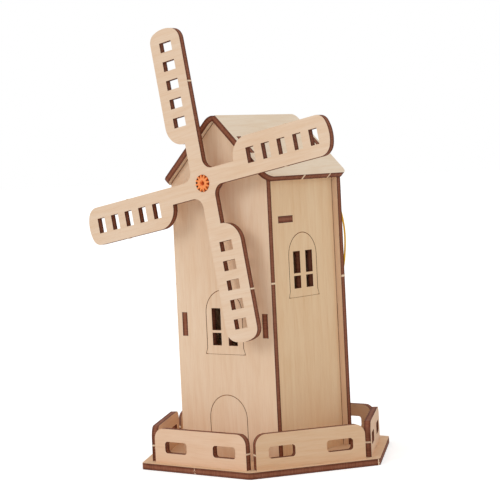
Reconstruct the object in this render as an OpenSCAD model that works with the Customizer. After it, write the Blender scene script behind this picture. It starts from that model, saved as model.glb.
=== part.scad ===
// Slot-together plywood windmill with an electric motor behind its sails.
// Origin: centre of the underside of the base. +Z up, the door faces -Y.

/* [Plywood] */
// Thickness of the plywood sheet
ply = 3; // [2.5:0.1:4]
// Gap on each side of a tab in its slot
slot_gap = 0.1; // [0.02:0.01:0.2]
// Width of an engraved line
line_w = 0.35; // [0.2:0.05:0.8]
// Depth of an engraved line
line_depth = 0.3; // [0.1:0.05:0.6]
// Length of the tabs that join walls, shelf and roof
tab_len = 11; // [6:0.5:14]
// Gap between the top edge of a side wall and the roof
roof_gap = 0.3; // [0.1:0.1:1]

/* [Base and fence] */
// Distance from the centre of the base to its corners
base_r = 64; // [56:1:90]
// Rounding of the corners of the base
base_round = 2.5; // [1:0.5:6]
// From the edge of the base to the outer face of the fence
fence_inset = 4.2; // [2:0.1:8]
// Gap between the inner corners of neighbouring fence panels
fence_gap = 1.7; // [1:0.1:10]
// Height of the fence above the base
fence_h = 16; // [12:0.5:26]
// Rounding of the top corners of the fence
fence_round = 5; // [2:0.5:7]
// Length of one slot in a fence panel
fence_slot_len = 13; // [8:0.5:15]
// Height of a fence slot
fence_slot_h = 5.4; // [4:0.2:7]
// Rounding of the corners of a fence slot
fence_slot_r = 1.5; // [0.5:0.1:2]
// Middle of the fence slots above the base
fence_slot_up = 7.4; // [6:0.1:9]
// Centre of a fence slot from the middle of its panel
fence_slot_x = 14.3; // [11:0.1:16]
// Length of the tab under a fence panel
fence_tab = 10; // [6:0.5:14]

/* [Tower] */
// Width of the front wall and the back wall
wall_w = 57; // [48:0.5:70]
// Depth of the tower over the front and back walls
tower_d = 58; // [56:0.5:76]
// Height of the inner ridge of the roof above the table
ridge_z = 161; // [150:0.5:190]
// Slope of the roof
roof_pitch = 45; // [40:1:50]
// From the edge of the front wall to the outer face of a side wall
side_inset = 3; // [2:0.1:5]
// Height of the middle of the tenons between the walls
tenon_z = 65.5; // [55:0.5:72]
// Middle of the base tabs of the front and back walls, from the middle of the wall
wall_tab_x = 14.3; // [10:0.1:17]
// Middle of the base tabs of the side walls, from the middle of the wall
side_tab_y = 14.5; // [10:0.1:17]

/* [Windows and door] */
// Half the width of the engraved window
window_hw = 10.8; // [9:0.1:13]
// Height of the engraved window
window_h = 30; // [28:0.5:34]
// Sill of the front window
front_sill_z = 51.9; // [40:0.1:60]
// Sill of the side windows
side_sill_z = 76.8; // [68:0.1:80]
// How far the foot of the window frame flares out
sill_flare = 1; // [0.5:0.1:2]
// Height of the flare
sill_flare_h = 2.8; // [2:0.1:3.5]
// Middle of a pane from the middle of the window
pane_x = 4.75; // [4.5:0.05:6]
// Width of a pane
pane_w = 5.3; // [4:0.1:6]
// Bottom of the lower panes above the sill
low_pane_z = 4; // [3:0.1:4.5]
// Height of the lower panes
low_pane_h = 5.9; // [4:0.1:6.2]
// Bottom of the upper panes above the sill
high_pane_z = 11.1; // [11:0.1:13]
// Height of the upper panes
high_pane_h = 10.3; // [8:0.1:11]
// Half the width of the door
door_hw = 11; // [9:0.1:14]
// Top of the door arch
door_top = 32.8; // [26:0.1:38]

/* [Roof] */
// From the outer edge of the wall down the slope to the eave
eave_over = 1.3; // [0.5:0.1:5]
// Overhang in front of the front wall
roof_front = 2.5; // [1:0.1:5]
// Overhang behind the back wall
roof_back = 1.5; // [0.5:0.1:5]
// Large rounding at the corners of the eaves
eave_round = 5; // [2:0.5:8]
// Small rounding at the other corners
ridge_round = 3; // [1:0.5:6]

/* [Sails] */
// Height of the hub
hub_z = 132; // [124:0.5:142]
// From the front wall to the front face of the sails
sail_front = 11; // [8:0.5:14]
// Length of a sail from the hub
sail_r = 75; // [60:1:90]
// Turn of the sails as displayed
sail_turn = 10; // [0:1:45]
// Straight edge of a sail from the line through the hub
sail_back = 2.1; // [1:0.1:4]
// Other edge of the stem
stem_edge = 6.1; // [5:0.1:8]
// Other edge of the blade
blade_edge = 16.1; // [12:0.1:20]
// Where the blade begins
blade_start = 20; // [18:0.5:24]
// Radius of the arc across the tip of a blade
tip_arc = 16; // [12:0.5:24]
// Rounding of the tip on the straight side
tip_back_r = 6; // [3:0.5:7]
// Rounding of the tip on the other side
tip_edge_r = 5; // [3:0.5:7]
// Rounding of the inner end of the blade
blade_shoulder = 9.5; // [3:0.5:10]
// Fillet between neighbouring stems
hub_fillet = 5; // [2:0.5:8]
// Number of windows in a blade
sail_windows = 5; // [2:1:5]
// Where the first window begins
sail_window_start = 28.2; // [26:0.1:32]
// Distance between windows
sail_pitch = 9; // [7:0.1:9.5]
// Length of a window along the blade
sail_window_len = 4.6; // [3:0.1:6]
// Width of a window across the blade
sail_window_w = 7.2; // [5:0.1:9]

/* [Hub gear] */
// Number of teeth
teeth = 12; // [8:1:16]
// Radius over the teeth
gear_r = 4; // [3.5:0.1:5]
// Radius between the teeth
gear_root = 3; // [2.4:0.1:3.3]
// Length of the gear
gear_len = 7.5; // [5:0.5:10]
// How far the gear stands in front of the sails
gear_proud = 0.5; // [0:0.1:1]
// Clearance of the teeth in the hole of the sails
gear_gap = 0.02; // [0.01:0.01:0.1]

/* [Motor] */
// Diameter of the can
motor_d = 20; // [18:0.5:22]
// Height over the flats of the can
motor_flat = 15; // [13:0.5:17]
// Length of the can
motor_len = 20; // [18:0.5:24]
// Wall of the can
can_wall = 0.8; // [0.5:0.1:1]
// Diameter of the boss on the front of the can
boss_d = 6; // [5:0.5:7]
// Length of that boss
boss_len = 1.7; // [1:0.1:2.2]
// Radial gap around the boss in the front wall
boss_gap = 0.1; // [0.05:0.05:0.5]
// Length of the end cap
cap_len = 4; // [3:0.5:6]
// Length of the boss on the end cap
rear_boss = 1; // [0.5:0.1:2]
// Diameter of the boss on the end cap
rear_boss_d = 6; // [5:0.5:8]
// Diameter of the shaft
shaft_d = 2; // [1.5:0.1:2.5]
// How far the shaft stands out of the can
shaft_out = 12; // [10:0.5:13]
// Radial clearance of the shaft in its bushes
bush_gap = 0.03; // [0.02:0.01:0.06]
// Outer radius of a bush
bush_r = 1.9; // [1.5:0.1:2.2]
// Length of a bush
bush_len = 2.4; // [1.5:0.1:3]
// From the front of the can to the armature
armature_set = 4; // [3.5:0.5:5]
// Length of the armature
armature_len = 10; // [8:0.5:10]
// Radius of the armature
armature_r = 6; // [5:0.1:6.2]
// Width of the three slots in the armature
armature_slot = 1.4; // [0.8:0.1:2]
// Radial gap between armature and magnets
air_gap = 0.5; // [0.3:0.1:1]
// Between each magnet and the wall of the can
magnet_gap = 0.05; // [0.02:0.01:0.2]
// From the middle of the motor to the edge of a magnet
magnet_edge = 3.4; // [3:0.1:5]
// Radius of the commutator
commutator_r = 2.4; // [2:0.1:3]
// Length of the commutator
commutator_len = 3; // [2:0.1:3.5]
// Between armature and commutator
commutator_set = 1.5; // [1:0.1:2]
// Thickness of a brush spring
brush_t = 0.3; // [0.2:0.05:0.5]
// Width of the brush springs and of the terminals
strip_w = 2; // [1.5:0.1:3]
// Thickness of a terminal
terminal_t = 0.4; // [0.3:0.05:0.6]
// Length of a terminal behind the end cap
terminal_len = 4; // [3:0.5:6]
// Terminal from the middle of the motor
terminal_x = 7.5; // [6:0.5:8]
// Clearance of the can in its cradles
cradle_gap = 0.1; // [0.05:0.05:0.3]
// Width of a cradle
cradle_w = 30; // [28:1:36]
// Length of the tab under a cradle
cradle_tab = 10; // [6:0.5:16]
// Rounding of the top corners of a cradle
cradle_round = 2; // [1:0.5:4]
// Top of a cradle above the middle of the motor
cradle_rise = 2; // [1:0.5:5]
// From the front of the can to each cradle
cradle_set = [3, 15]; // [2:0.5:17]
// Height of the top of the motor shelf
shelf_z = 115; // [108:0.5:118]
// Depth of the motor shelf
shelf_d = 27; // [24:0.5:34]
// Middle of the shelf tenons behind the middle of the tower
shelf_tenon_y = -12; // [-16:0.5:-8]

/* [Battery case] */
// Width of the case
case_w = 26; // [25:0.5:27]
// Length of the case
case_len = 62; // [61:0.5:70]
// Depth of the case without its cover
case_d = 12.8; // [12.6:0.1:14]
// Wall of the case and thickness of its cover
case_wall = 1.2; // [1:0.1:1.3]
// Underside of the case above the table
case_z = 22; // [20:0.5:24]
// Thickness of the foam tape behind the case
tape_t = 1; // [0.5:0.1:2]
// Diameter of a AAA cell
cell_d = 10.3; // [10:0.1:10.5]
// Length of a AAA cell
cell_len = 44.3; // [43.5:0.1:44.5]
// Foot of the cells above the underside of the case
cell_up = 4; // [3.5:0.5:6]
// Clearance between a cell and the middle of the case
cell_gap = 0.4; // [0.1:0.1:0.6]
// Clearance between a cell and the cover
cell_cover_gap = 1; // [0.5:0.1:1.2]
// Diameter of the positive button of a cell
cell_button_d = 3.8; // [3:0.1:5.5]
// Length of the positive button
cell_button = 0.8; // [0.6:0.1:1.2]
// From the top of the cells to the divider under the switch
spring_room = 2.8; // [2.2:0.1:4]
// Radius of a contact spring
spring_r = 3; // [2:0.1:4]
// Thickness of the contact plates
contact_t = 0.4; // [0.2:0.1:0.6]
// Width of a contact plate
contact_w = 8; // [6:0.5:9]
// Clearance between a spring and its cell
spring_gap = 0.05; // [0.02:0.01:0.2]
// Diameter of the cover screw
screw_d = 2; // [1.6:0.1:2.4]
// Diameter of the head of the screw
screw_head_d = 3.8; // [3:0.1:4.4]
// Height of that head
screw_head = 1.2; // [0.8:0.1:1.6]
// Length of the screw under its head, without the cover
screw_len = 6; // [4:0.5:9]
// From the side of the case to the middle of the screw
screw_in = 4.2; // [3.5:0.1:5]
// Diameter of the post for the screw
post_d = 4.4; // [4:0.1:5.5]
// Length of the switch body
switch_len = 8.5; // [7:0.1:9.5]
// Height of the switch body
switch_h = 3.6; // [2.5:0.1:4]
// Depth of the switch body behind the cover
switch_d = 4; // [3:0.1:6]
// Clearance of the knob in its window
knob_gap = 0.2; // [0.1:0.05:0.4]
// Height of the knob across its travel
knob_h = 1.8; // [1.2:0.1:2.4]
// Between the knob and the floor of its pocket
knob_lift = 0.05; // [0.02:0.01:0.2]
// How deep the knob sits in the switch body
knob_deep = 0.8; // [0.5:0.1:1.5]
// Travel of the switch slider
switch_travel = 2.4; // [1.5:0.1:3]
// Size of the slider knob along its travel
knob_w = 2.4; // [1.5:0.1:3]
// How far the knob stands out of the cover
knob_out = 1.5; // [1:0.1:2.5]

/* [Leads] */
// Diameter of a lead
lead_d = 0.9; // [0.7:0.1:1.2]
// Radius of the hole for the leads in the back wall
lead_hole_r = 2.5; // [2:0.1:4]

/* [Hidden] */
$fn = 64;

wood = [0.87, 0.75, 0.60];
e = 0.01;
base_apothem = base_r * cos(30);
fence_apothem = base_apothem - fence_inset;
fence_len = (fence_apothem - ply) * 2 * tan(30) - fence_gap;
fence_slot_z = ply + fence_slot_up;

wall_y = tower_d / 2;
wall_in = wall_y - ply;
side_x = wall_w / 2 - side_inset;
side_in = side_x - ply;
eave_z = ridge_z - wall_w / 2 * tan(roof_pitch);
slope_len = wall_w / 2 / cos(roof_pitch);
roof_len = slope_len + eave_over;
roof_tab_s = slope_len / 2;
side_top = ridge_z - side_x * tan(roof_pitch) - roof_gap;

sail_y = -wall_y - sail_front;
motor_y = -wall_in;
cap_y = motor_y + motor_len;
rear_y = cap_y + cap_len;
can_r = motor_d / 2;
can_h = motor_flat / 2;
armature_y = motor_y + armature_set;
commutator_y = armature_y + armature_len + commutator_set;
cradle_ys = [for (set = cradle_set) motor_y + set];
cradle_top = hub_z + cradle_rise;

tape_y = wall_y;
case_y = wall_y + tape_t;
cover_y = case_y + case_d;
cell_x = cell_d / 2 + cell_gap;
cell_y = cover_y - cell_cover_gap - cell_d / 2;
cell_z = case_z + cell_up;
divider_z = cell_z + cell_len + spring_room;
switch_z = (divider_z + case_wall + case_z + case_len - case_wall) / 2;
screw_x = -case_w / 2 + screw_in;
knob_room = [switch_travel + knob_w + 2 * knob_gap, knob_h + 2 * knob_gap];
lead_hole = [13, 124];

// Routes of the two leads: motor terminal, hole in the back wall, loop, side of the case
yellow_route = [[7.5, 2, 132], [7.5, 5, 132], [7.9, 10, 131.6], [9.3, 15.4, 129.8],
    [11.5, 20.2, 127], [13.2, 24.5, 124.9], [14, 28, 124.3], [15.4, 31, 123.8], [18.4, 33.4, 122.4],
    [21.4, 34.6, 119.8], [23.6, 35, 115], [24.8, 35, 110], [25.4, 35, 105], [25.4, 35, 100],
    [24.9, 35.1, 95], [23.9, 35.5, 90], [22.1, 36.1, 85.4], [19.2, 36.8, 81.2], [16, 37, 78.6],
    [13, 37, 78]];
black_route = [[-7.5, 2, 132], [-7.5, 5.4, 132], [-6.4, 9.8, 131.6], [-2.6, 14, 130.6], [2, 17, 129],
    [6.4, 20.2, 126.8], [10, 24, 124.8], [12, 28, 123.6], [13.4, 31, 122.6], [15.4, 33.6, 120],
    [17, 35, 115.6], [17.8, 35.6, 110.4], [18.2, 35.8, 105], [18.4, 36, 99.6], [18.4, 36.2, 94.4],
    [18.2, 36.4, 89.6], [17.4, 36.8, 85.4], [15.6, 37, 82.4], [13, 37, 81.4]];

// ---- helpers ----

// Plate whose outline is drawn in X and Z, from y0 backwards
module plate_xz(y0, th = ply)
    translate([0, y0 + th, 0]) rotate([90, 0, 0]) linear_extrude(th) children();

// Plate whose outline is drawn in Y and Z, from x0 to the right
module plate_yz(x0, th = ply)
    translate([x0, 0, 0]) rotate([90, 0, 90]) linear_extrude(th) children();

// Cylinder along Y from y0
module rod_y(r, y0, len)
    translate([0, y0, 0]) rotate([-90, 0, 0]) cylinder(r = r, h = len);

// Centred rectangle with round corners
module round_rect(w, h, r) {
    square([w - 2 * r, h], center = true);
    square([w, h - 2 * r], center = true);
    for (x = [-1, 1], y = [-1, 1])
        translate([x * (w / 2 - r), y * (h / 2 - r)]) circle(r);
}

// What a fillet of radius r takes off a square corner at the origin that points to +X +Y
module corner_off(r)
    difference() {
        translate([-r, -r]) square(r + 1);
        translate([-r, -r]) circle(r);
    }

// Arch with a half-round top, from bottom to top
module arch(hw, bottom, top) {
    translate([-hw, bottom]) square([2 * hw, top - hw - bottom]);
    translate([0, top - hw]) circle(hw);
}

// Window frame outline, grown by g
module window_outline(g) {
    arch(window_hw + g, 0, window_h + g);
    for (m = [0, 1]) mirror([m, 0])
        polygon([[0, -g], [window_hw + sill_flare + g, -g], [window_hw + g, sill_flare_h],
            [0, sill_flare_h]]);
}

// The engraved line of the window
module window_line()
    difference() {
        window_outline(line_w / 2);
        window_outline(-line_w / 2);
    }

// The four open panes of the window
module window_panes()
    for (x = [-1, 1], row = [[low_pane_z, low_pane_h], [high_pane_z, high_pane_h]])
        translate([x * pane_x - pane_w / 2, row[0]]) square([pane_w, row[1]]);

// The engraved line of the door
module door_line()
    difference() {
        arch(door_hw + line_w / 2, ply - 1, door_top + line_w / 2);
        arch(door_hw - line_w / 2, ply - 2, door_top - line_w / 2);
    }

// Slot for a tab of length len in a plate of the sheet's thickness
module slot(len)
    square([len + 2 * slot_gap, ply + 2 * slot_gap], center = true);

// Same slot standing upright
module slot_up(len)
    rotate(90) slot(len);

// ---- base and fence ----

// Hexagon with round corners, made of its tangent points and a disc in each corner
module base_outline() {
    disc_r = base_r - base_round / cos(30);
    polygon([for (k = [0:5], a = [-30, 30])
        [disc_r * cos(60 * k) + base_round * cos(60 * k + a),
         disc_r * sin(60 * k) + base_round * sin(60 * k + a)]]);
    for (k = [0:5]) rotate(60 * k) translate([disc_r, 0]) circle(base_round);
}

module base_plate()
    color(wood)
    difference() {
        linear_extrude(ply) base_outline();
        translate([0, 0, -e]) linear_extrude(ply + 2 * e) {
            for (k = [0:5]) rotate(60 * k)
                translate([0, -fence_apothem + ply / 2]) slot(fence_tab);
            for (x = [-1, 1], y = [-1, 1]) {
                translate([x * wall_tab_x, y * (wall_y - ply / 2)]) slot(tab_len);
                translate([x * (side_x - ply / 2), y * side_tab_y]) slot_up(tab_len);
            }
        }
    }

module fence(k)
    color(wood)
    rotate([0, 0, 60 * k]) plate_xz(-fence_apothem)
        difference() {
            union() {
                translate([-fence_len / 2, ply]) square([fence_len, fence_h]);
                translate([-fence_tab / 2, 0]) square([fence_tab, ply + e]);
            }
            for (m = [0, 1]) mirror([m, 0]) {
                translate([fence_len / 2, ply + fence_h]) corner_off(fence_round);
                translate([fence_slot_x, fence_slot_z])
                    round_rect(fence_slot_len, fence_slot_h, fence_slot_r);
            }
        }

// ---- tower ----

// Outline of the front and back walls with their base tabs and roof tabs
module gable() {
    polygon([[-wall_w / 2, ply], [wall_w / 2, ply], [wall_w / 2, eave_z], [0, ridge_z],
        [-wall_w / 2, eave_z]]);
    for (m = [0, 1]) mirror([m, 0]) {
        translate([wall_tab_x - tab_len / 2, 0]) square([tab_len, ply + e]);
        translate([0, ridge_z]) rotate(-roof_pitch)
            translate([roof_tab_s - tab_len / 2, -e]) square([tab_len, ply + e]);
    }
}

// Mortises for the tenons of the side walls
module wall_mortises()
    for (x = [-1, 1]) translate([x * (side_x - ply / 2), tenon_z]) slot_up(tab_len);

module front_wall()
    color(wood)
    difference() {
        plate_xz(-wall_y) difference() {
            gable();
            wall_mortises();
            translate([0, front_sill_z]) window_panes();
            translate([0, hub_z]) circle(boss_d / 2 + boss_gap);
        }
        plate_xz(-wall_y - 1, line_depth + 1) {
            translate([0, front_sill_z]) window_line();
            door_line();
        }
    }

module back_wall()
    color(wood)
    plate_xz(wall_in) difference() {
        gable();
        wall_mortises();
        translate(lead_hole) circle(lead_hole_r);
    }

// Side wall at the right, or its mirror image at the left
module side_wall(dir)
    color(wood)
    mirror([dir < 0 ? 1 : 0, 0, 0])
    difference() {
        plate_yz(side_in) difference() {
            union() {
                translate([-wall_in, ply]) square([2 * wall_in, side_top - ply]);
                for (y = [-1, 1]) translate([y * side_tab_y - tab_len / 2, 0])
                    square([tab_len, ply + e]);
                translate([-wall_y, tenon_z - tab_len / 2]) square([tower_d, tab_len]);
            }
            translate([shelf_tenon_y, shelf_z - ply / 2]) slot(tab_len);
            translate([0, side_sill_z]) window_panes();
        }
        plate_yz(side_x - line_depth, line_depth + 1)
            translate([0, side_sill_z]) window_line();
    }

module motor_shelf()
    color(wood)
    translate([0, 0, shelf_z - ply]) linear_extrude(ply)
        difference() {
            union() {
                translate([-side_in, -wall_in]) square([2 * side_in, shelf_d]);
                translate([-side_x, shelf_tenon_y - tab_len / 2]) square([2 * side_x, tab_len]);
            }
            for (y = cradle_ys) translate([0, y + ply / 2]) slot(cradle_tab);
        }

// Plate that carries the can of the motor, with its front face at y0
module cradle(y0)
    color(wood)
    plate_xz(y0) difference() {
        union() {
            translate([-cradle_w / 2, shelf_z]) square([cradle_w, cradle_top - shelf_z]);
            translate([-cradle_tab / 2, shelf_z - ply]) square([cradle_tab, ply + e]);
        }
        translate([0, hub_z]) intersection() {
            circle(can_r + cradle_gap);
            translate([-can_r - 1, -can_h]) square([motor_d + 2, motor_d]);
        }
        translate([-can_r - cradle_gap, hub_z]) square([motor_d + 2 * cradle_gap, can_r]);
        for (m = [0, 1]) mirror([m, 0]) translate([cradle_w / 2, cradle_top])
            corner_off(cradle_round);
    }

// ---- roof ----

// Roof panel: s runs down the slope from the ridge, the second axis is Y
module roof_outline(front_top, front_low, back_low, back_top)
    difference() {
        translate([0, -wall_y - roof_front]) square([roof_len, tower_d + roof_front + roof_back]);
        if (front_top > 0) translate([0, -wall_y - roof_front]) rotate(180) corner_off(front_top);
        translate([roof_len, -wall_y - roof_front]) rotate(-90) corner_off(front_low);
        translate([roof_len, wall_y + roof_back]) corner_off(back_low);
        translate([0, wall_y + roof_back]) rotate(90) corner_off(back_top);
        for (y = [-1, 1]) translate([roof_tab_s, y * (wall_y - ply / 2)]) slot(tab_len);
    }

module roof_right()
    color(wood)
    translate([0, 0, ridge_z]) rotate([0, roof_pitch, 0])
        linear_extrude(ply) roof_outline(0, eave_round, ridge_round, ridge_round);

module roof_left()
    color(wood)
    mirror([1, 0, 0]) translate([0, 0, ridge_z]) rotate([0, roof_pitch, 0])
        linear_extrude(ply) roof_outline(ridge_round, ridge_round, ridge_round, ridge_round);

// ---- motor ----

// Round can with flats above and below
module can_outline(inset = 0)
    intersection() {
        circle(can_r - inset);
        square([motor_d + 2, motor_flat - 2 * inset], center = true);
    }

module at_hub()
    translate([0, 0, hub_z]) children();

module motor_can()
    color("silver")
    at_hub() difference() {
        union() {
            plate_xz(motor_y, motor_len) can_outline();
            rod_y(boss_d / 2, motor_y - boss_len, boss_len + e);
        }
        plate_xz(motor_y + can_wall, motor_len) can_outline(can_wall);
        rod_y(bush_r, motor_y - boss_len - e, boss_len + can_wall + 2 * e);
    }

module motor_magnets()
    color("dimgray")
    at_hub() plate_xz(armature_y - 1, armature_len + 2) difference() {
        intersection() {
            can_outline(can_wall + magnet_gap);
            for (m = [0, 1]) mirror([m, 0])
                translate([magnet_edge, -can_h]) square([can_r, motor_flat]);
        }
        circle(armature_r + air_gap);
    }

module motor_bushes()
    color("goldenrod")
    at_hub() for (y0 = [motor_y - boss_len, rear_y + rear_boss - bush_len]) difference() {
        rod_y(bush_r, y0, bush_len);
        rod_y(shaft_d / 2 + bush_gap, y0 - e, bush_len + 2 * e);
    }

module motor_endcap()
    color("ivory")
    at_hub() difference() {
        union() {
            plate_xz(cap_y, cap_len) can_outline();
            rod_y(rear_boss_d / 2, rear_y - e, rear_boss + e);
        }
        rod_y(bush_r, rear_y + rear_boss - bush_len, bush_len + e);
        rod_y(shaft_d / 2 + 0.3, cap_y - e, cap_len);
    }

module motor_brushes()
    color("peru")
    at_hub() for (m = [0, 1]) mirror([m, 0, 0])
        translate([commutator_r + 0.1, commutator_y + brush_t, -strip_w / 2])
            cube([brush_t, cap_y - commutator_y - brush_t, strip_w]);

module motor_terminals()
    color("gold")
    at_hub() for (x = [-1, 1])
        translate([x * terminal_x - terminal_t / 2, rear_y, -strip_w / 2])
            cube([terminal_t, terminal_len, strip_w]);

module motor_shaft()
    color("lightgray")
    at_hub() rod_y(shaft_d / 2, motor_y - shaft_out, shaft_out + motor_len + cap_len + 0.8);

module motor_armature()
    color("darkgoldenrod")
    at_hub() plate_xz(armature_y, armature_len) difference() {
        circle(armature_r);
        for (k = [0:2]) rotate(120 * k + 30)
            translate([commutator_r + 0.2, -armature_slot / 2]) square([armature_r, armature_slot]);
        circle(shaft_d / 2);
    }

module motor_commutator()
    color("chocolate")
    at_hub() plate_xz(commutator_y, commutator_len) difference() {
        circle(commutator_r);
        circle(shaft_d / 2);
    }

// ---- sails ----

// Toothed outline of the hub gear
module gear_outline() {
    step = 360 / teeth;
    polygon([for (k = [0:teeth - 1], p = [[-0.27, gear_root], [-0.15, gear_r], [0.15, gear_r],
        [0.27, gear_root]]) [p[1] * cos(step * (k + p[0])), p[1] * sin(step * (k + p[0]))]]);
}

// Blade along +X: a large arc at the tip runs into a corner disc on each side
module blade_outline() {
    mid = [sail_r - tip_arc, (blade_edge - sail_back) / 2];
    discs = [for (c = [[-1, tip_back_r], [1, tip_edge_r]]) let (
        y = (c[0] < 0 ? -sail_back : blade_edge) - c[0] * c[1],
        x = mid[0] + sqrt(pow(tip_arc - c[1], 2) - pow(y - mid[1], 2)))
        [x, y, c[1]]];
    touch = [for (d = discs) mid + tip_arc * unit([d[0], d[1]] - mid)];
    polygon([[blade_start, -sail_back], [discs[0][0], -sail_back], touch[0], touch[1],
        [discs[1][0], blade_edge], [blade_start, blade_edge]]);
    for (d = discs) translate([d[0], d[1]]) circle(d[2]);
    intersection() {
        translate(mid) circle(tip_arc);
        polygon([mid, 2 * touch[0] - mid, 2 * touch[1] - mid]);
    }
}

// One sail along +X: stem, blade with its windows, and the fillet to the next stem
module sail_outline() {
    difference() {
        union() {
            translate([-stem_edge, -sail_back]) square([blade_start + stem_edge + e, stem_edge + sail_back]);
            difference() {
                blade_outline();
                translate([blade_start, blade_edge]) rotate(90) corner_off(blade_shoulder);
            }
        }
        for (k = [0:sail_windows - 1])
            translate([sail_window_start + sail_pitch * k,
                    (blade_edge - sail_back - sail_window_w) / 2])
                square([sail_window_len, sail_window_w]);
    }
    translate([stem_edge, -sail_back]) rotate(-90) difference() {
        square(hub_fillet);
        translate([hub_fillet, hub_fillet]) circle(hub_fillet);
    }
}

module sail_cross()
    color(wood)
    at_hub() plate_xz(sail_y) rotate(sail_turn) difference() {
        for (k = [0:3]) rotate(90 * k) sail_outline();
        circle(gear_r + gear_gap);
    }

module hub_gear()
    color("orange")
    at_hub() difference() {
        plate_xz(sail_y - gear_proud, gear_len) rotate(sail_turn) gear_outline();
        rod_y(shaft_d / 2, sail_y - gear_proud - e, gear_len + 2 * e);
    }

// ---- battery case ----

module tape_pad()
    color("white")
    translate([-case_w / 2 + 2, tape_y, case_z + 4]) cube([case_w - 4, tape_t, case_len - 8]);

module battery_case()
    color("#202020")
    difference() {
        union() {
            difference() {
                translate([-case_w / 2, case_y, case_z]) cube([case_w, case_d, case_len]);
                translate([-case_w / 2 + case_wall, case_y + case_wall, case_z + case_wall])
                    cube([case_w - 2 * case_wall, case_d, case_len - 2 * case_wall]);
            }
            translate([-case_w / 2 + 0.5, case_y + 0.5, divider_z])
                cube([case_w - 1, case_d - 0.5, case_wall]);
            translate([screw_x, 0, switch_z]) rod_y(post_d / 2, case_y + 0.5, case_d - 0.5);
        }
        translate([screw_x, 0, switch_z]) rod_y(screw_d / 2, case_y + case_wall + 1, case_d);
    }

module battery_cells()
    color("royalblue")
    for (x = [-1, 1]) translate([x * cell_x, cell_y, cell_z]) {
        cylinder(d = cell_d, h = cell_len - cell_button);
        cylinder(d = cell_button_d, h = cell_len);
    }

// One spring stands on the lower contact, the other hangs from the divider
module battery_springs() {
    foot_z = case_z + case_wall + contact_t;
    top_z = cell_z + cell_len + spring_gap;
    color("silver") {
        translate([-cell_x, cell_y, foot_z]) cylinder(r = spring_r, h = cell_z - spring_gap - foot_z);
        translate([cell_x, cell_y, top_z]) cylinder(r = spring_r, h = divider_z - contact_t - top_z);
    }
}

module battery_contacts()
    color("silver") {
        translate([-cell_x - contact_w / 2, cell_y - contact_w / 2, case_z + case_wall])
            cube([2 * cell_x + contact_w, contact_w, contact_t]);
        for (x = [-1, 1])
            translate([x * cell_x - contact_w / 2, cell_y - contact_w / 2, divider_z - contact_t])
                cube([contact_w, contact_w, contact_t]);
    }

module battery_cover()
    color("#202020")
    difference() {
        translate([-case_w / 2, cover_y, case_z]) cube([case_w, case_wall, case_len]);
        translate([0, 0, switch_z]) plate_xz(cover_y - 1, case_wall + 2) square(knob_room, center = true);
        translate([screw_x, 0, switch_z]) rod_y(screw_d / 2 + 0.1, cover_y - 1, case_wall + 2);
    }

module cover_screw()
    color("silver")
    translate([screw_x, 0, switch_z]) difference() {
        union() {
            rod_y(screw_d / 2, cover_y - screw_len, screw_len + case_wall);
            rod_y(screw_head_d / 2, cover_y + case_wall, screw_head);
        }
        plate_xz(cover_y + case_wall + screw_head / 2, screw_head)
            for (a = [0, 90]) rotate(a) square([screw_head_d * 0.6, 0.5], center = true);
    }

module switch_body()
    color("dimgray")
    difference() {
        translate([-switch_len / 2, cover_y - switch_d, switch_z - switch_h / 2])
            cube([switch_len, switch_d, switch_h]);
        translate([0, 0, switch_z]) plate_xz(cover_y - knob_deep, switch_d) square(knob_room, center = true);
    }

module switch_slider()
    color("black")
    translate([-switch_travel / 2 - knob_w / 2, cover_y - knob_deep + knob_lift, switch_z - knob_h / 2])
        cube([knob_w, case_wall + knob_deep + knob_out - knob_lift, knob_h]);

// ---- leads ----

// Point at t between p1 and p2 on a smooth curve through four points
function smooth(p0, p1, p2, p3, t) =
    0.5 * (2 * p1 + (p2 - p0) * t + (2 * p0 - 5 * p1 + 4 * p2 - p3) * t * t
        + (3 * p1 - p0 - 3 * p2 + p3) * t * t * t);

// Route with extra points on the curve between the given ones
function smooth_route(p, per = 2) = let (n = len(p)) [
    for (i = [0:n - 2], j = [0:per - 1])
        smooth(p[max(i - 1, 0)], p[i], p[i + 1], p[min(i + 2, n - 1)], j / per),
    p[n - 1]];

function unit(v) = v / norm(v);

// Direction of the route at point i
function heading(p, i) = unit(p[min(i + 1, len(p) - 1)] - p[max(i - 1, 0)]);

// Tube of radius r along the route, square to start_dir and end_dir at its ends
module tube(p, r, start_dir, end_dir, sides = 8) {
    n = len(p);
    dirs = [for (i = [0:n - 1]) i == 0 ? start_dir : i == n - 1 ? end_dir : heading(p, i)];
    rings = [for (i = [0:n - 1]) let (
            a = unit(cross(dirs[i], [0.31, 0.12, 0.94])),
            b = cross(dirs[i], a))
        for (k = [0:sides - 1]) p[i] + r * (cos(360 * k / sides) * a + sin(360 * k / sides) * b)];
    walls = [for (i = [0:n - 2], k = [0:sides - 1]) let (m = (k + 1) % sides)
        [i * sides + k, (i + 1) * sides + k, (i + 1) * sides + m, i * sides + m]];
    polyhedron(points = rings, faces = concat(walls,
        [[for (k = [0:sides - 1]) k]],
        [[for (k = [sides - 1:-1:0]) (n - 1) * sides + k]]));
}

module lead_yellow()
    color("gold") tube(smooth_route(yellow_route), lead_d / 2, [0, 1, 0], [-1, 0, 0]);

module lead_black()
    color("#181818") tube(smooth_route(black_route), lead_d / 2, [0, 1, 0], [-1, 0, 0]);

// ---- pieces ----

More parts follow.
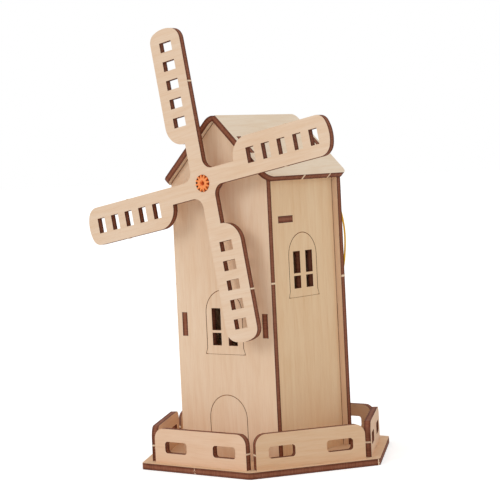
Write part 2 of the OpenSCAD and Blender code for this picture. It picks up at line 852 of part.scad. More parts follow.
base_plate();
fence(0);  // fence_front
fence(1);  // fence_front_right
fence(2);  // fence_back_right
fence(3);  // fence_back
fence(4);  // fence_back_left
fence(5);  // fence_front_left
front_wall();
back_wall();
side_wall(1);  // right_wall
side_wall(-1);  // left_wall
roof_right();
roof_left();
motor_shelf();
cradle(cradle_ys[0]);  // cradle_front
cradle(cradle_ys[1]);  // cradle_rear
motor_can();
motor_magnets();
motor_bushes();
motor_endcap();
motor_brushes();
motor_terminals();
motor_shaft();
motor_armature();
motor_commutator();
hub_gear();
sail_cross();
tape_pad();
battery_case();
battery_cells();
battery_springs();
battery_contacts();
battery_cover();
cover_screw();
switch_body();
switch_slider();
lead_yellow();
lead_black();
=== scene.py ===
"""Slot-together plywood windmill with an electric motor behind its sails: the looks, built around
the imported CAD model."""
import math

import bmesh
import bpy
from mathutils import Matrix, Vector


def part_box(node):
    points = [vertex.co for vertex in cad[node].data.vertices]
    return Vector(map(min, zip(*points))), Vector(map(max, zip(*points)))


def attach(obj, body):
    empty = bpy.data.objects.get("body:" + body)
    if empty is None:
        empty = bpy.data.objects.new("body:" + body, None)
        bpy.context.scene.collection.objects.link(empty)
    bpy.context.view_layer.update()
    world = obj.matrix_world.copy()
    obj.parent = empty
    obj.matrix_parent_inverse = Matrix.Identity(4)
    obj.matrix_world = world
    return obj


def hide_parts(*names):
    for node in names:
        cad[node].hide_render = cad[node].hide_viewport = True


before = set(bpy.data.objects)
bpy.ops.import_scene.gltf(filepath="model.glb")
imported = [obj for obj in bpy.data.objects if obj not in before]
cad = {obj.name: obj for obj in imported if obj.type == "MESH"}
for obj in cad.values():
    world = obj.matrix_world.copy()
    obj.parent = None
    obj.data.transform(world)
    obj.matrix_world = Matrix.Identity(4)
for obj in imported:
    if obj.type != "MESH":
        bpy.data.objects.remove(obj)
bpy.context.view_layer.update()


# ---- Base plate ----
# A hexagon of 3 mm basswood plywood, 128 mm over its corners, with six slots for the fence and
# eight for the walls, cut by laser. The cut leaves scorched brown edges round pale, dull faces.
MM = 0.001
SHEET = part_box("base_plate")[1].z / MM


def linear(hex_colour):
    """An sRGB hex colour as linear RGBA."""
    parts = [int(hex_colour[i:i + 2], 16) / 255 for i in (1, 3, 5)]
    return [c / 12.92 if c <= 0.04045 else ((c + 0.055) / 1.055) ** 2.4 for c in parts] + [1]


def add(tree, kind, inputs=None, **settings):
    """Adds a node: settings are its properties, inputs are values or sockets to link."""
    made = tree.nodes.new(kind)
    for name, value in settings.items():
        setattr(made, name, value)
    for name, value in (inputs or {}).items():
        if isinstance(value, bpy.types.NodeSocket):
            tree.links.new(value, made.inputs[name])
        else:
            made.inputs[name].default_value = value
    return made


def name_sockets(tree, way, **kinds):
    """Names the inputs or the outputs of a node group."""
    for name, kind in kinds.items():
        tree.interface.new_socket(name, in_out=way, socket_type="NodeSocket" + kind)


# Basswood (limewood) plywood, three plies, laser cut. Sanded faces: cream, almost no pores, faint
# figure where the peeled veneer crosses the rings. Edges: scorched red-brown with darker glue
# lines and fine upright marks of the beam, nearly black where the beam enters and leaves.
plywood = bpy.data.node_groups.new("laser-cut basswood plywood", "ShaderNodeTree")
name_sockets(plywood, "INPUT", Panel="Vector", Face="Float", Margin="Float", Veneer="Color", Seed="Float")
name_sockets(plywood, "OUTPUT", Color="Color", Roughness="Float", Normal="Vector")
given = add(plywood, "NodeGroupInput").outputs
sized = add(plywood, "ShaderNodeVectorMath", {0: given["Panel"], "Scale": 1 / MM}, operation="SCALE")
moved = add(plywood, "ShaderNodeVectorMath", {0: (37, 61, 0), "Scale": given["Seed"]}, operation="SCALE")
placed = add(plywood, "ShaderNodeVectorMath", {0: sized.outputs[0], 1: moved.outputs[0]}, operation="ADD")


def grain(along, across, through, **settings):
    """Noise with the length, width and depth of its marks in millimetres."""
    at = add(plywood, "ShaderNodeVectorMath",
             {0: placed.outputs[0], 1: (1 / along, 1 / across, 1 / through)},
             operation="MULTIPLY")
    return add(plywood, "ShaderNodeTexNoise",
               {"Vector": at.outputs[0], "Scale": 1, **settings}).outputs["Fac"]


def stain(under, colour, pattern, low, high, most=1.0, blend="MIX"):
    """Stains what is under with a colour, from none where the pattern is low to most where it is high."""
    share = add(plywood, "ShaderNodeMapRange", {"Value": pattern, "From Min": low, "From Max": high,
                "To Max": most})
    return add(plywood, "ShaderNodeMix", {0: share.outputs[0], 6: under, 7: colour}, data_type="RGBA",
               blend_type=blend).outputs[2]


# In mm: from the middle of the sheet to a glue line, and from a face down to the end of the char
# and to the shallowest engraved floor.
GLUE_LINE, CHAR_DEEP, ENGRAVED = 0.74, 0.3, 0.12
rings = grain(90, 12, 90, Detail=1.0, Distortion=0.3)
swing = add(plywood, "ShaderNodeMath", {0: rings, 1: 40.0}, operation="MULTIPLY")
figure = add(plywood, "ShaderNodeMath", {0: swing.outputs[0]}, operation="SINE")
streaks = grain(45, 2.2, 45, Detail=3.0, Roughness=0.6)
fibres = grain(9, 0.5, 9, Detail=2.0, Roughness=0.7)
cloud = grain(60, 30, 60, Detail=2.0)
face = stain(given["Veneer"], linear("#efdcc6"), streaks, 0.3, 0.75, 0.3, "MULTIPLY")
face = stain(face, linear("#f3e2cd"), cloud, 0.35, 0.75, 0.3, "MULTIPLY")
face = stain(face, linear("#ecd5b9"), figure.outputs[0], -0.2, 1, 0.12, "MULTIPLY")
face = stain(face, linear("#e3c7a6"), fibres, 0.45, 0.85, 0.28, "MULTIPLY")
# Browns the face along the listed outlines: scorch of the beam, with painted shade under the roof and where
# the walls meet.
face = stain(face, linear("#7d4a2b"), given["Margin"], 0, 1)

depth = add(plywood, "ShaderNodeSeparateXYZ", {0: sized.outputs[0]})
level = add(plywood, "ShaderNodeMath", {0: depth.outputs[2]}, operation="ABSOLUTE").outputs[0]
beam = grain(0.42, 0.42, 10, Detail=2.0)
soot = grain(6, 6, 2.5, Detail=2.0)
edge = stain(linear("#7a4431"), linear("#935b42"), level, GLUE_LINE + 0.04, GLUE_LINE - 0.08)
edge = stain(edge, linear("#a06a55"), soot, 0.42, 0.62, 0.4)
edge = stain(edge, linear("#5f3020"), beam, 0.4, 0.7, 0.5)
beside = add(plywood, "ShaderNodeMath", {0: level, 1: GLUE_LINE}, operation="SUBTRACT")
from_glue = add(plywood, "ShaderNodeMath", {0: beside.outputs[0]}, operation="ABSOLUTE")
edge = stain(edge, linear("#45200f"), from_glue.outputs[0], 0.12, 0.04, 0.7)
edge = stain(edge, linear("#3d1c12"), level, SHEET / 2 - CHAR_DEEP, SHEET / 2 - 0.08)
scorch = stain(linear("#c07a40"), linear("#8f5128"), beam, 0.3, 0.7)
engraved = add(plywood, "ShaderNodeMath", {0: level, 1: SHEET / 2 - ENGRAVED}, operation="LESS_THAN")
face = stain(face, scorch, engraved.outputs[0], 0, 1)
colour = stain(edge, face, given["Face"], 0, 1)
relief = add(plywood, "ShaderNodeMix", {0: given["Face"], 2: beam, 3: fibres}).outputs[0]
bump = add(plywood, "ShaderNodeBump", {"Height": relief, "Strength": 0.5, "Distance": 0.05 * MM})
dull = add(plywood, "ShaderNodeMapRange", {"Value": relief, "From Min": 0.2, "From Max": 0.8,
           "To Min": 0.58, "To Max": 0.8})
add(plywood, "NodeGroupOutput", {"Color": colour, "Normal": bump.outputs[0], "Roughness": dull.outputs[0]})


# Width of the browned margin along a cut, and of its full brown, in mm: scorch of the beam, with painted
# shade where the edge lies under the roof or against another wall.
MARGIN, MARGIN_BROWN = 0.5, 0.2


def through_sheet(name):
    """The direction through a panel's sheet, and where the middle of the sheet lies along it."""
    area = {}
    for polygon in cad[name].data.polygons:
        normal = polygon.normal if max(polygon.normal, key=abs) > 0 else -polygon.normal
        key = tuple(round(c, 2) for c in normal)
        first, total = area.get(key, (normal, 0))
        area[key] = first, total + polygon.area
    through = max(area.values(), key=lambda pair: pair[1])[0].normalized()
    levels = [v.co.dot(through) for v in cad[name].data.vertices]
    return through, (min(levels) + max(levels)) / 2


def cut_from_sheet(name, grain_direction, veneer, seed, cut_lines=()):
    """Gives a CAD panel its own plywood. cut_lines are straight outlines (x, y, z, offset in mm) along
    which the face is browned: the beam's scorch, with painted shade under the roof and where the walls
    meet; x and y count from the middle outwards."""
    through, middle = through_sheet(name)
    along = Vector(grain_direction)
    along = (along - along.dot(through) * through).normalized()
    turn = Matrix((along, through.cross(along), through)).transposed().to_euler()
    material = bpy.data.materials.new("basswood plywood " + name)
    material.use_nodes = True
    tree = material.node_tree
    tree.nodes.clear()
    spot = add(tree, "ShaderNodeTexCoord").outputs
    laid = add(tree, "ShaderNodeMapping", {"Vector": spot["Object"], "Location": middle * through,
               "Rotation": turn}, vector_type="TEXTURE")
    facing = add(tree, "ShaderNodeVectorMath", {0: spot["Normal"], 1: through}, operation="DOT_PRODUCT")
    either = add(tree, "ShaderNodeMath", {0: facing.outputs["Value"]}, operation="ABSOLUTE")
    flat = add(tree, "ShaderNodeMath", {0: either.outputs[0], 1: 0.7}, operation="GREATER_THAN")
    wood = add(tree, "ShaderNodeGroup", {}, node_tree=plywood)
    tree.links.new(laid.outputs[0], wood.inputs["Panel"])
    tree.links.new(flat.outputs[0], wood.inputs["Face"])
    wood.inputs["Veneer"].default_value = linear(veneer)
    wood.inputs["Seed"].default_value = seed
    # The browned margin: scorch, with painted shade at the joins and under the eaves.
    scorch_and_shade = 0.0
    if cut_lines:
        apart = add(tree, "ShaderNodeSeparateXYZ", {0: spot["Object"]}).outputs
        outward = [add(tree, "ShaderNodeMath", {0: apart[i]}, operation="ABSOLUTE").outputs[0]
                   for i in (0, 1)]
        folded = add(tree, "ShaderNodeCombineXYZ", {0: outward[0], 1: outward[1], 2: apart[2]})
        for x, y, z, offset in cut_lines:
            reach = add(tree, "ShaderNodeVectorMath", {0: folded.outputs[0], 1: (x, y, z)},
                        operation="DOT_PRODUCT")
            near = add(tree, "ShaderNodeMapRange", {"Value": reach.outputs["Value"],
                       "From Min": (offset - MARGIN) * MM, "From Max": (offset - MARGIN_BROWN) * MM})
            scorch_and_shade = add(tree, "ShaderNodeMath", {0: near.outputs[0], 1: scorch_and_shade},
                         operation="MAXIMUM").outputs[0]
        tree.links.new(scorch_and_shade, wood.inputs["Margin"])
    shader = add(tree, "ShaderNodeBsdfPrincipled", {"Base Color": wood.outputs["Color"],
                 "Roughness": wood.outputs["Roughness"], "Normal": wood.outputs["Normal"],
                 "Specular IOR Level": 0.12})
    add(tree, "ShaderNodeOutputMaterial", {"Surface": shader.outputs[0]})
    cad[name].data.materials.clear()
    cad[name].data.materials.append(material)


cut_from_sheet("base_plate", (1, 0, 0), "#e8c7a6", 1.0)

# ---- Walls ----
# Front and back wall with a gable, and two side walls between them, joined by tenons. The windows
# and the door are engraved lines 0.3 mm deep, and the panes are cut out. The grain stands upright.
wall_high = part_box("back_wall")[1] / MM
side_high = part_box("right_wall")[1] / MM
SLOPE = math.sqrt(0.5)
# Browned margins along the gables under the roof, and along the side walls' ends and tops against the other
# walls and eaves: scorch with painted shade.
gable_cut = (SLOPE, 0, SLOPE, wall_high.z * SLOPE)
for name, veneer, seed in (("front_wall", "#efd5ba", 2.3), ("back_wall", "#efd4b8", 3.1)):
    cut_from_sheet(name, (0, 0, 1), veneer, seed, [gable_cut])
for name, veneer, seed in (("right_wall", "#f0d3ae", 4.7), ("left_wall", "#f0d3b2", 5.9)):
    cut_from_sheet(name, (0, 0, 1), veneer, seed, [(0, 1, 0, wall_high.y - SHEET), (0, 0, 1, side_high.z)])

# ---- Motor shelf and cradles ----
# A shelf tenoned between the side walls carries two upright cradles, each with a bed that follows
# the flat-sided can of the motor.
for name, seed in (("motor_shelf", 6.2), ("cradle_front", 7.7), ("cradle_rear", 8.8)):
    cut_from_sheet(name, (1, 0, 0), "#e8c8a6", seed)


# ---- Motor ----
# Small brushed motor: a drawn steel can with two magnets and a bronze bush, an armature with three
# wound poles, and a nylon cap that holds the brushes and the two terminals.
def finish_of(name, light, dark, marks, rough, relief=0.0, **constants):
    """A finish that wavers between two tones in marks (x, y, z in mm), with roughness from low to
    high and a relief in mm. Constants go straight on the shader."""
    material = bpy.data.materials.new(name)
    material.use_nodes = True
    tree = material.node_tree
    tree.nodes.clear()
    spot = add(tree, "ShaderNodeTexCoord").outputs
    fitted = add(tree, "ShaderNodeMapping", {"Vector": spot["Object"],
                 "Scale": [1 / (size * MM) for size in marks]})
    mottle = add(tree, "ShaderNodeTexNoise", {"Vector": fitted.outputs[0], "Scale": 1, "Detail": 3,
                 "Roughness": 0.6}).outputs["Fac"]
    spread = add(tree, "ShaderNodeMapRange", {"Value": mottle, "From Min": 0.3, "From Max": 0.7}).outputs[0]
    shade = add(tree, "ShaderNodeMix", {0: spread, 6: linear(light), 7: linear(dark)}, data_type="RGBA")
    gloss = add(tree, "ShaderNodeMapRange", {"Value": mottle, "From Min": 0.3, "From Max": 0.7,
                "To Min": rough[0], "To Max": rough[1]})
    raised = add(tree, "ShaderNodeBump", {"Height": mottle, "Strength": 0.6, "Distance": relief * MM})
    shader = add(tree, "ShaderNodeBsdfPrincipled", {"Base Color": shade.outputs[2],
                 "Roughness": gloss.outputs[0], "Normal": raised.outputs[0], **constants})
    add(tree, "ShaderNodeOutputMaterial", {"Surface": shader.outputs[0]})
    return material


def refinish(node, material):
    """Puts a finish on a CAD part that stays as it is."""
    cad[node].data.materials.clear()
    cad[node].data.materials.append(material)


def skin(build, rings, joined=False):
    """Skins rings of points in mm; the last ring joins the first, or flat ends close the shell."""
    rows = [[build.verts.new(point) for point in ring] for ring in rings]
    for one, two in list(zip(rows, rows[1:])) + ([(rows[-1], rows[0])] if joined else []):
        for i in range(len(one)):
            j = (i + 1) % len(one)
            build.faces.new((one[i], one[j], two[j], two[i]))
    if not joined:
        build.faces.new(rows[0][::-1])
        build.faces.new(rows[-1])


def made_of(build, name, material):
    """Turns a build in mm into a closed mesh in metres, faces outwards, smooth up to a corner."""
    bmesh.ops.remove_doubles(build, verts=build.verts, dist=1e-4)
    bmesh.ops.recalc_face_normals(build, faces=build.faces)
    bmesh.ops.scale(build, verts=build.verts, vec=(MM, MM, MM))
    mesh = bpy.data.meshes.new(name)
    build.to_mesh(mesh)
    build.free()
    mesh.shade_smooth()
    mesh.set_sharp_from_angle(angle=math.radians(32))
    mesh.materials.append(material)
    return mesh


def settle(name, mesh, body, slot, *stands_for):
    """Makes a mesh a piece that rides on a body and stands for CAD parts."""
    placed_piece = bpy.data.objects.new(name, mesh)
    bpy.context.collection.objects.link(placed_piece)
    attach(placed_piece, body)
    if stands_for:
        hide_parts(*stands_for)


def corners_of(node):
    """Lowest and highest corner of a CAD part, in mm."""
    return [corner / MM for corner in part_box(node)]


can_low, can_high = corners_of("motor_can")
cap_low, cap_high = corners_of("motor_endcap")
hub_z = (can_low.z + can_high.z) / 2
CAN_R, CAN_H = can_high.x, can_high.z - hub_z
BOSS_R, BUSH_R, CAN_WALL, BOSS_LEN, REAR_BOSS = 3, 1.9, 0.8, 1.7, 1


def can_ring(y, inset=0.0, radius=CAN_R, sides=96):
    """Round ring at y with the can's flats above and below."""
    flat, points = CAN_H - inset, []
    for k in range(sides):
        turn = 2 * math.pi * (k + 0.5) / sides
        reach = min(radius - inset, flat / max(abs(math.sin(turn)), 1e-6))
        points.append((reach * math.cos(turn), y, hub_z + reach * math.sin(turn)))
    return points


def fillet(radius, steps=5):
    """(inset, advance) pairs round a quarter turn."""
    return [(radius * (1 - math.sin(math.pi / 2 * k / steps)),
             radius * (1 - math.cos(math.pi / 2 * k / steps)))
            for k in range(steps + 1)]


can_front, can_back = can_low.y + BOSS_LEN, can_high.y
build = bmesh.new()
skin(build, [can_ring(can_low.y, 0, BUSH_R), can_ring(can_low.y, 0.25, BOSS_R),
             can_ring(can_low.y + 0.25, 0, BOSS_R),
             can_ring(can_front - 0.1, 0, BOSS_R), can_ring(can_front, 0, BOSS_R + 0.1)]
     + [can_ring(can_front + advance, inset) for inset, advance in fillet(1.0)]
     + [can_ring(can_back, 0), can_ring(can_back, CAN_WALL),
        can_ring(can_front + CAN_WALL + 0.6, CAN_WALL),
        can_ring(can_front + CAN_WALL, CAN_WALL + 0.6), can_ring(can_front + CAN_WALL, 0, BUSH_R)],
     joined=True)
# Zinc-plated mild steel, deep drawn: grey with a faint spangle, drawn marks along the can.
zinc_steel = finish_of("zinc-plated drawn steel", "#b9bcc0", "#9ea2a8", (2.5, 7, 2.5), (0.28, 0.42), 0.01,
                       Metallic=1.0)
settle("motor_case", made_of(build, "motor_case", zinc_steel), "tower", "motor_steel", "motor_can")

build = bmesh.new()
skin(build, [can_ring(cap_low.y, 0.15), can_ring(cap_low.y + 0.2, 0)]
     + [can_ring(cap_high.y - REAR_BOSS - advance, inset) for inset, advance in reversed(fillet(0.7))]
     + [can_ring(cap_high.y - REAR_BOSS, 0, BOSS_R + 0.3),
        can_ring(cap_high.y - REAR_BOSS + 0.3, 0, BOSS_R),
        can_ring(cap_high.y, 0.2, BOSS_R), can_ring(cap_high.y, 0, BUSH_R),
        can_ring(cap_high.y - 2.4, 0, BUSH_R),
        can_ring(cap_high.y - 2.4, 0, 1.3), can_ring(cap_low.y, 0, 1.3)], joined=True)
# Natural nylon 66, injection moulded: milky off-white, soft sheen, faint flow mottle.
nylon = finish_of("moulded natural nylon", "#efe9d8", "#e6dec8", (3, 3, 3), (0.38, 0.5), 0.01)
settle("motor_cap", made_of(build, "motor_cap", nylon), "tower", "nylon", "motor_endcap")

# Sintered ferrite is dull charcoal with a fine grit; sintered bronze is brown with open pores.
refinish("motor_magnets", finish_of("sintered ferrite", "#4b4a4c", "#39383a", (0.5, 0.5, 0.5), (0.55, 0.75),
                                    0.03))
refinish("motor_bushes", finish_of("sintered bronze", "#a9803f", "#8a6430", (0.3, 0.3, 0.3), (0.4, 0.6),
                                   0.02, Metallic=1.0))
# Ground carbon steel: bright, with fine marks round the shaft from the grinding wheel.
ground_steel = finish_of("ground carbon steel", "#c9ccd0", "#b2b5ba", (6, 0.25, 6), (0.18, 0.3), 0.005,
                         Metallic=1.0)
# Stamped silicon steel laminations, 0.5 mm each, show as bands across the core.
refinish("motor_armature", finish_of("stamped silicon steel", "#8d9096", "#5d6066", (40, 0.5, 40),
                                     (0.4, 0.6), 0.03, Metallic=1.0))
# Phosphor bronze strip, stamped: warm yellow-brown and springy bright.
refinish("motor_brushes", finish_of("phosphor bronze strip", "#c99a5b", "#b58548", (4, 0.4, 4), (0.25, 0.4),
                                    0.005, Metallic=1.0))

shaft_low, shaft_high = corners_of("motor_shaft")
build = bmesh.new()
shaft_r = (shaft_high.x - shaft_low.x) / 2
skin(build, [can_ring(y, 0, radius, 40) for y, radius in (
    (shaft_low.y, shaft_r - 0.2), (shaft_low.y + 0.2, shaft_r), (shaft_high.y - 0.2, shaft_r),
    (shaft_high.y, shaft_r - 0.2))])
settle("shaft", made_of(build, "shaft", ground_steel), "sails", "shaft_steel", "motor_shaft")

# Commutator: three copper segments with a saw cut between them, on a moulded sleeve.
comm_low, comm_high = corners_of("motor_commutator")
comm_r, SLEEVE_R, CUT, ARC_STEPS = comm_high.x, 1.45, math.radians(7), 14
build = bmesh.new()
for third in range(3):
    start, span = third * math.tau / 3 + CUT / 2, math.tau / 3 - CUT
    rings_of_arc = []
    for step in range(ARC_STEPS + 1):
        turn = start + span * step / ARC_STEPS
        rings_of_arc.append([(r * math.cos(turn), y, hub_z + r * math.sin(turn)) for r, y in (
            (SLEEVE_R, comm_low.y), (comm_r - 0.15, comm_low.y), (comm_r, comm_low.y + 0.15),
            (comm_r, comm_high.y - 0.15), (comm_r - 0.15, comm_high.y), (SLEEVE_R, comm_high.y))])
    skin(build, rings_of_arc)
skin(build, [can_ring(comm_low.y + 0.1, 0, shaft_r + 0.01, 40), can_ring(comm_low.y + 0.1, 0, SLEEVE_R, 40),
             can_ring(comm_high.y - 0.1, 0, SLEEVE_R, 40),
             can_ring(comm_high.y - 0.1, 0, shaft_r + 0.01, 40)], joined=True)
# Hard-drawn copper, turned: salmon with fine rings where the brushes rub.
turned_copper = finish_of("turned copper", "#c9794f", "#b0613c", (6, 0.3, 6), (0.22, 0.38), 0.005,
                          Metallic=1.0)
settle("commutator", made_of(build, "commutator", turned_copper), "sails", "copper", "motor_commutator")


def add_tree(name, **inputs):
    """A geometry node tree with named inputs; its result is one geometry."""
    tree = bpy.data.node_groups.new(name, "GeometryNodeTree")
    name_sockets(tree, "INPUT", Geometry="Geometry", **inputs)
    name_sockets(tree, "OUTPUT", Geometry="Geometry")
    return tree, add(tree, "NodeGroupInput").outputs


def grow(tree, source, **values):
    """Runs a geometry node tree on a source and returns the result as a plain mesh."""
    worker = bpy.data.objects.new(tree.name, source)
    bpy.context.collection.objects.link(worker)
    modifier = worker.modifiers.new(tree.name, "NODES")
    modifier.node_group = tree
    for item in tree.interface.items_tree:
        if item.in_out == "INPUT" and item.name in values:
            modifier[item.identifier] = values[item.name]
    bpy.context.view_layer.update()
    made = bpy.data.meshes.new_from_object(worker.evaluated_get(bpy.context.evaluated_depsgraph_get()))
    bpy.data.objects.remove(worker)
    made.name = tree.name
    return made


# Windings: enamelled copper wire, 0.4 mm here so that the turns show, wound in three coils through
# the slots of the core. One turn is a closed loop; the tree stacks it outwards and round the core.
winding, put = add_tree("winding", Turns="Int", Coils="Int", Step="Float", Wire="Float", Hub="Vector",
                        Enamel="Material")
home = add(winding, "GeometryNodeTransform", {"Geometry": put["Geometry"]})
negative = add(winding, "ShaderNodeVectorMath", {0: put["Hub"], "Scale": -1.0}, operation="SCALE")
winding.links.new(negative.outputs[0], home.inputs["Translation"])
stack = add(winding, "GeometryNodeMeshLine", {"Count": put["Turns"], "Offset": (0, 0, 0)})
count = add(winding, "GeometryNodeInputIndex")
growth = add(winding, "ShaderNodeMath", {0: count.outputs[0], 1: put["Step"], 2: 1.0},
             operation="MULTIPLY_ADD")
swell = add(winding, "ShaderNodeCombineXYZ", {0: growth.outputs[0], 1: 1.0, 2: growth.outputs[0]})
coil = add(winding, "GeometryNodeInstanceOnPoints",
           {"Points": stack.outputs[0], "Instance": home.outputs[0],
           "Scale": swell.outputs[0]})
coil_real = add(winding, "GeometryNodeRealizeInstances", {"Geometry": coil.outputs[0]})
round_core = add(winding, "GeometryNodeMeshLine", {"Count": put["Coils"], "Offset": (0, 0, 0)})
third_turn = add(winding, "ShaderNodeMath", {0: count.outputs[0], 1: math.tau / 3}, operation="MULTIPLY")
turned = add(winding, "ShaderNodeCombineXYZ", {1: third_turn.outputs[0]})
wound = add(winding, "GeometryNodeInstanceOnPoints", {"Points": round_core.outputs[0],
            "Instance": coil_real.outputs[0], "Rotation": turned.outputs[0]})
wound_real = add(winding, "GeometryNodeRealizeInstances", {"Geometry": wound.outputs[0]})
lines = add(winding, "GeometryNodeMeshToCurve", {"Mesh": wound_real.outputs[0]})
section = add(winding, "GeometryNodeCurvePrimitiveCircle", {"Radius": put["Wire"], "Resolution": 8})
wire = add(winding, "GeometryNodeCurveToMesh",
           {"Curve": lines.outputs[0], "Profile Curve": section.outputs[0]})
back_home = add(winding, "GeometryNodeTransform", {"Geometry": wire.outputs[0], "Translation": put["Hub"]})
enamelled = add(winding, "GeometryNodeSetMaterial",
                {"Geometry": back_home.outputs[0], "Material": put["Enamel"]})
add(winding, "NodeGroupOutput", {"Geometry": enamelled.outputs[0]})

core_low, core_high = corners_of("motor_armature")
SLOT_TURN, SLOT_SIDE, OVERHANG, BULGE, BENDS = math.radians(60), 0.27, 0.55, 0.3, 6
TURNS, FIRST_R, WIRE_R, WIRE_PITCH = 6, 2.95, 0.2, 0.45
loop = []
for side, ys in ((1, (core_low.y - OVERHANG, core_high.y + OVERHANG)),
                 (-1, (core_high.y + OVERHANG, core_low.y - OVERHANG))):
    angle = math.pi / 2 + side * (SLOT_TURN - SLOT_SIDE / FIRST_R)
    loop += [(FIRST_R * math.cos(angle), y, hub_z + FIRST_R * math.sin(angle)) for y in ys]
    for step in range(1, BENDS):
        bend = angle - side * 2 * (SLOT_TURN - SLOT_SIDE / FIRST_R) * step / BENDS
        bulge = OVERHANG + BULGE * math.sin(math.pi * step / BENDS)
        y = core_high.y + bulge if side > 0 else core_low.y - bulge
        loop.append((FIRST_R * math.cos(bend), y, hub_z + FIRST_R * math.sin(bend)))
one_turn = bpy.data.meshes.new("one_turn")
one_turn.from_pydata([[c * MM for c in p] for p in loop],
                     [(i, (i + 1) % len(loop)) for i in range(len(loop))], [])
# Polyurethane enamel over copper: deep reddish amber, glossy.
enamel = finish_of("enamelled copper wire", "#b4582c", "#96421d", (1, 1, 1), (0.18, 0.3), 0.0, Metallic=1.0)
coils = grow(winding, one_turn, Turns=TURNS, Coils=3, Step=WIRE_PITCH / FIRST_R, Wire=WIRE_R * MM,
             Hub=(0, 0, hub_z * MM), Enamel=enamel)
coils.shade_smooth()
settle("windings", coils, "sails", "copper")

# ---- Terminals ----
# Two brass tags, stamped from sheet and pressed into the cap. Each has a round end with an eye for
# the bared end of a lead, which is soldered in.
tag_low, tag_high = corners_of("motor_terminals")
TAG_T, EYE_R, TAG_SIDES = 0.4, 0.5, 32
tag_half, tag_mid_y = (tag_high.z - tag_low.z) / 2, tag_high.y - 1.4
build = bmesh.new()
for x in (tag_low.x, tag_high.x - TAG_T):
    outline, eye = [], []
    for k in range(TAG_SIDES):
        turn = math.tau * k / TAG_SIDES
        dy, dz = math.cos(turn), math.sin(turn)
        limit_y = (tag_high.y - tag_mid_y if dy > 0 else tag_mid_y - tag_low.y) / max(abs(dy), 1e-6)
        reach = min(limit_y, tag_half / max(abs(dz), 1e-6))
        if dy > 0:
            reach = min(reach, tag_high.y - tag_mid_y)
        outline.append((tag_mid_y + reach * dy, hub_z + reach * dz))
        eye.append((tag_mid_y + EYE_R * dy, hub_z + EYE_R * dz))
    skin(build, [[(at, y, z) for y, z in line] for at, line in (
        (x, eye), (x, outline), (x + TAG_T, outline), (x + TAG_T, eye))], joined=True)
# Rolled brass, stamped: bright yellow metal, a little tarnished.
brass = finish_of("stamped brass", "#d8b25a", "#c09a45", (2, 1, 2), (0.22, 0.38), 0.005, Metallic=1.0)
settle("terminals", made_of(build, "terminals", brass), "tower", "terminal_brass", "motor_terminals")


# ---- Battery case ----
# A moulded tray for two AAA cells, stuck to the back wall with foam tape, with a divider below the
# switch and a post for the screw of the cover.
def box_ring(y, low, high, corner, inset=0.0, steps=8):
    """Ring in X and Z with round corners, drawn in by inset."""
    points = []
    radius = max(corner - inset, 0.05)
    for k, (sx, sz) in enumerate(((1, 1), (-1, 1), (-1, -1), (1, -1))):
        cx = (high[0] if sx > 0 else low[0]) - sx * (inset + radius)
        cz = (high[1] if sz > 0 else low[1]) - sz * (inset + radius)
        for step in range(steps + 1):
            turn = math.pi / 2 * (k + step / steps)
            points.append((cx + radius * math.cos(turn), y, cz + radius * math.sin(turn)))
    return points


def ring_round(x, z, y, radius, sides):
    """Round ring at y, about a line along Y through x and z."""
    return [(x + radius * math.cos(math.tau * k / sides), y, z + radius * math.sin(math.tau * k / sides))
            for k in range(sides)]


def block(build, low, high, corner=0.2):
    """A moulded block with round corners."""
    flat_low, flat_high = (low[0], low[2]), (high[0], high[2])
    skin(build, [box_ring(y, flat_low, flat_high, corner, inset) for y, inset in (
        (low[1], 0.1), (low[1] + 0.1, 0), (high[1] - 0.1, 0), (high[1], 0.1))])


tray_low, tray_high = corners_of("battery_case")
cells_low, cells_high = corners_of("battery_cells")
lid_low, lid_high = corners_of("battery_cover")
screw_low, screw_high = corners_of("cover_screw")
WALL, CORNER = lid_high.y - lid_low.y, 1.8
tray_corners = (tray_low.x, tray_low.z), (tray_high.x, tray_high.z)
screw_x, screw_z = (screw_low.x + screw_high.x) / 2, (screw_low.z + screw_high.z) / 2
cell_r = (cells_high.y - cells_low.y) / 2
cell_y, cell_x = (cells_low.y + cells_high.y) / 2, cells_high.x - cell_r
divider_z = cells_high.z + 2.8
build = bmesh.new()
skin(build, [box_ring(tray_low.y + advance, *tray_corners, CORNER, inset) for inset, advance in fillet(0.6)]
     + [box_ring(tray_high.y - 0.12, *tray_corners, CORNER),
        box_ring(tray_high.y, *tray_corners, CORNER, 0.12),
        box_ring(tray_high.y, *tray_corners, CORNER, WALL - 0.1),
        box_ring(tray_high.y - 0.1, *tray_corners, CORNER, WALL),
        box_ring(tray_low.y + WALL, *tray_corners, CORNER, WALL)])
# What stands in the tray starts a little inside its floor and sides, so that it grows out of them.
ROOTED, RIB_LEVELS, CELL_PLAY = 0.2, (34, 48, 62), 0.15
rooted_x, rooted_y = tray_high.x - WALL + ROOTED, tray_low.y + WALL - ROOTED
block(build, (tray_low.x + WALL - ROOTED, rooted_y, divider_z),
      (rooted_x, tray_high.y - 0.1, divider_z + WALL))
for x in (-1, 1):
    near, far = sorted((x * (cell_x + cell_r + CELL_PLAY), x * rooted_x))
    for z in RIB_LEVELS:
        block(build, (near, rooted_y, z), (far, cell_y, z + 1))
post = ((1.0, tray_low.y + 2.4), (1.0, tray_high.y - 0.1), (1.3, tray_high.y - 0.1),
        (2.2, tray_high.y - 0.3), (2.4, rooted_y), (1.0, rooted_y))
skin(build, [ring_round(screw_x, screw_z, y, r, 32) for r, y in post], joined=True)
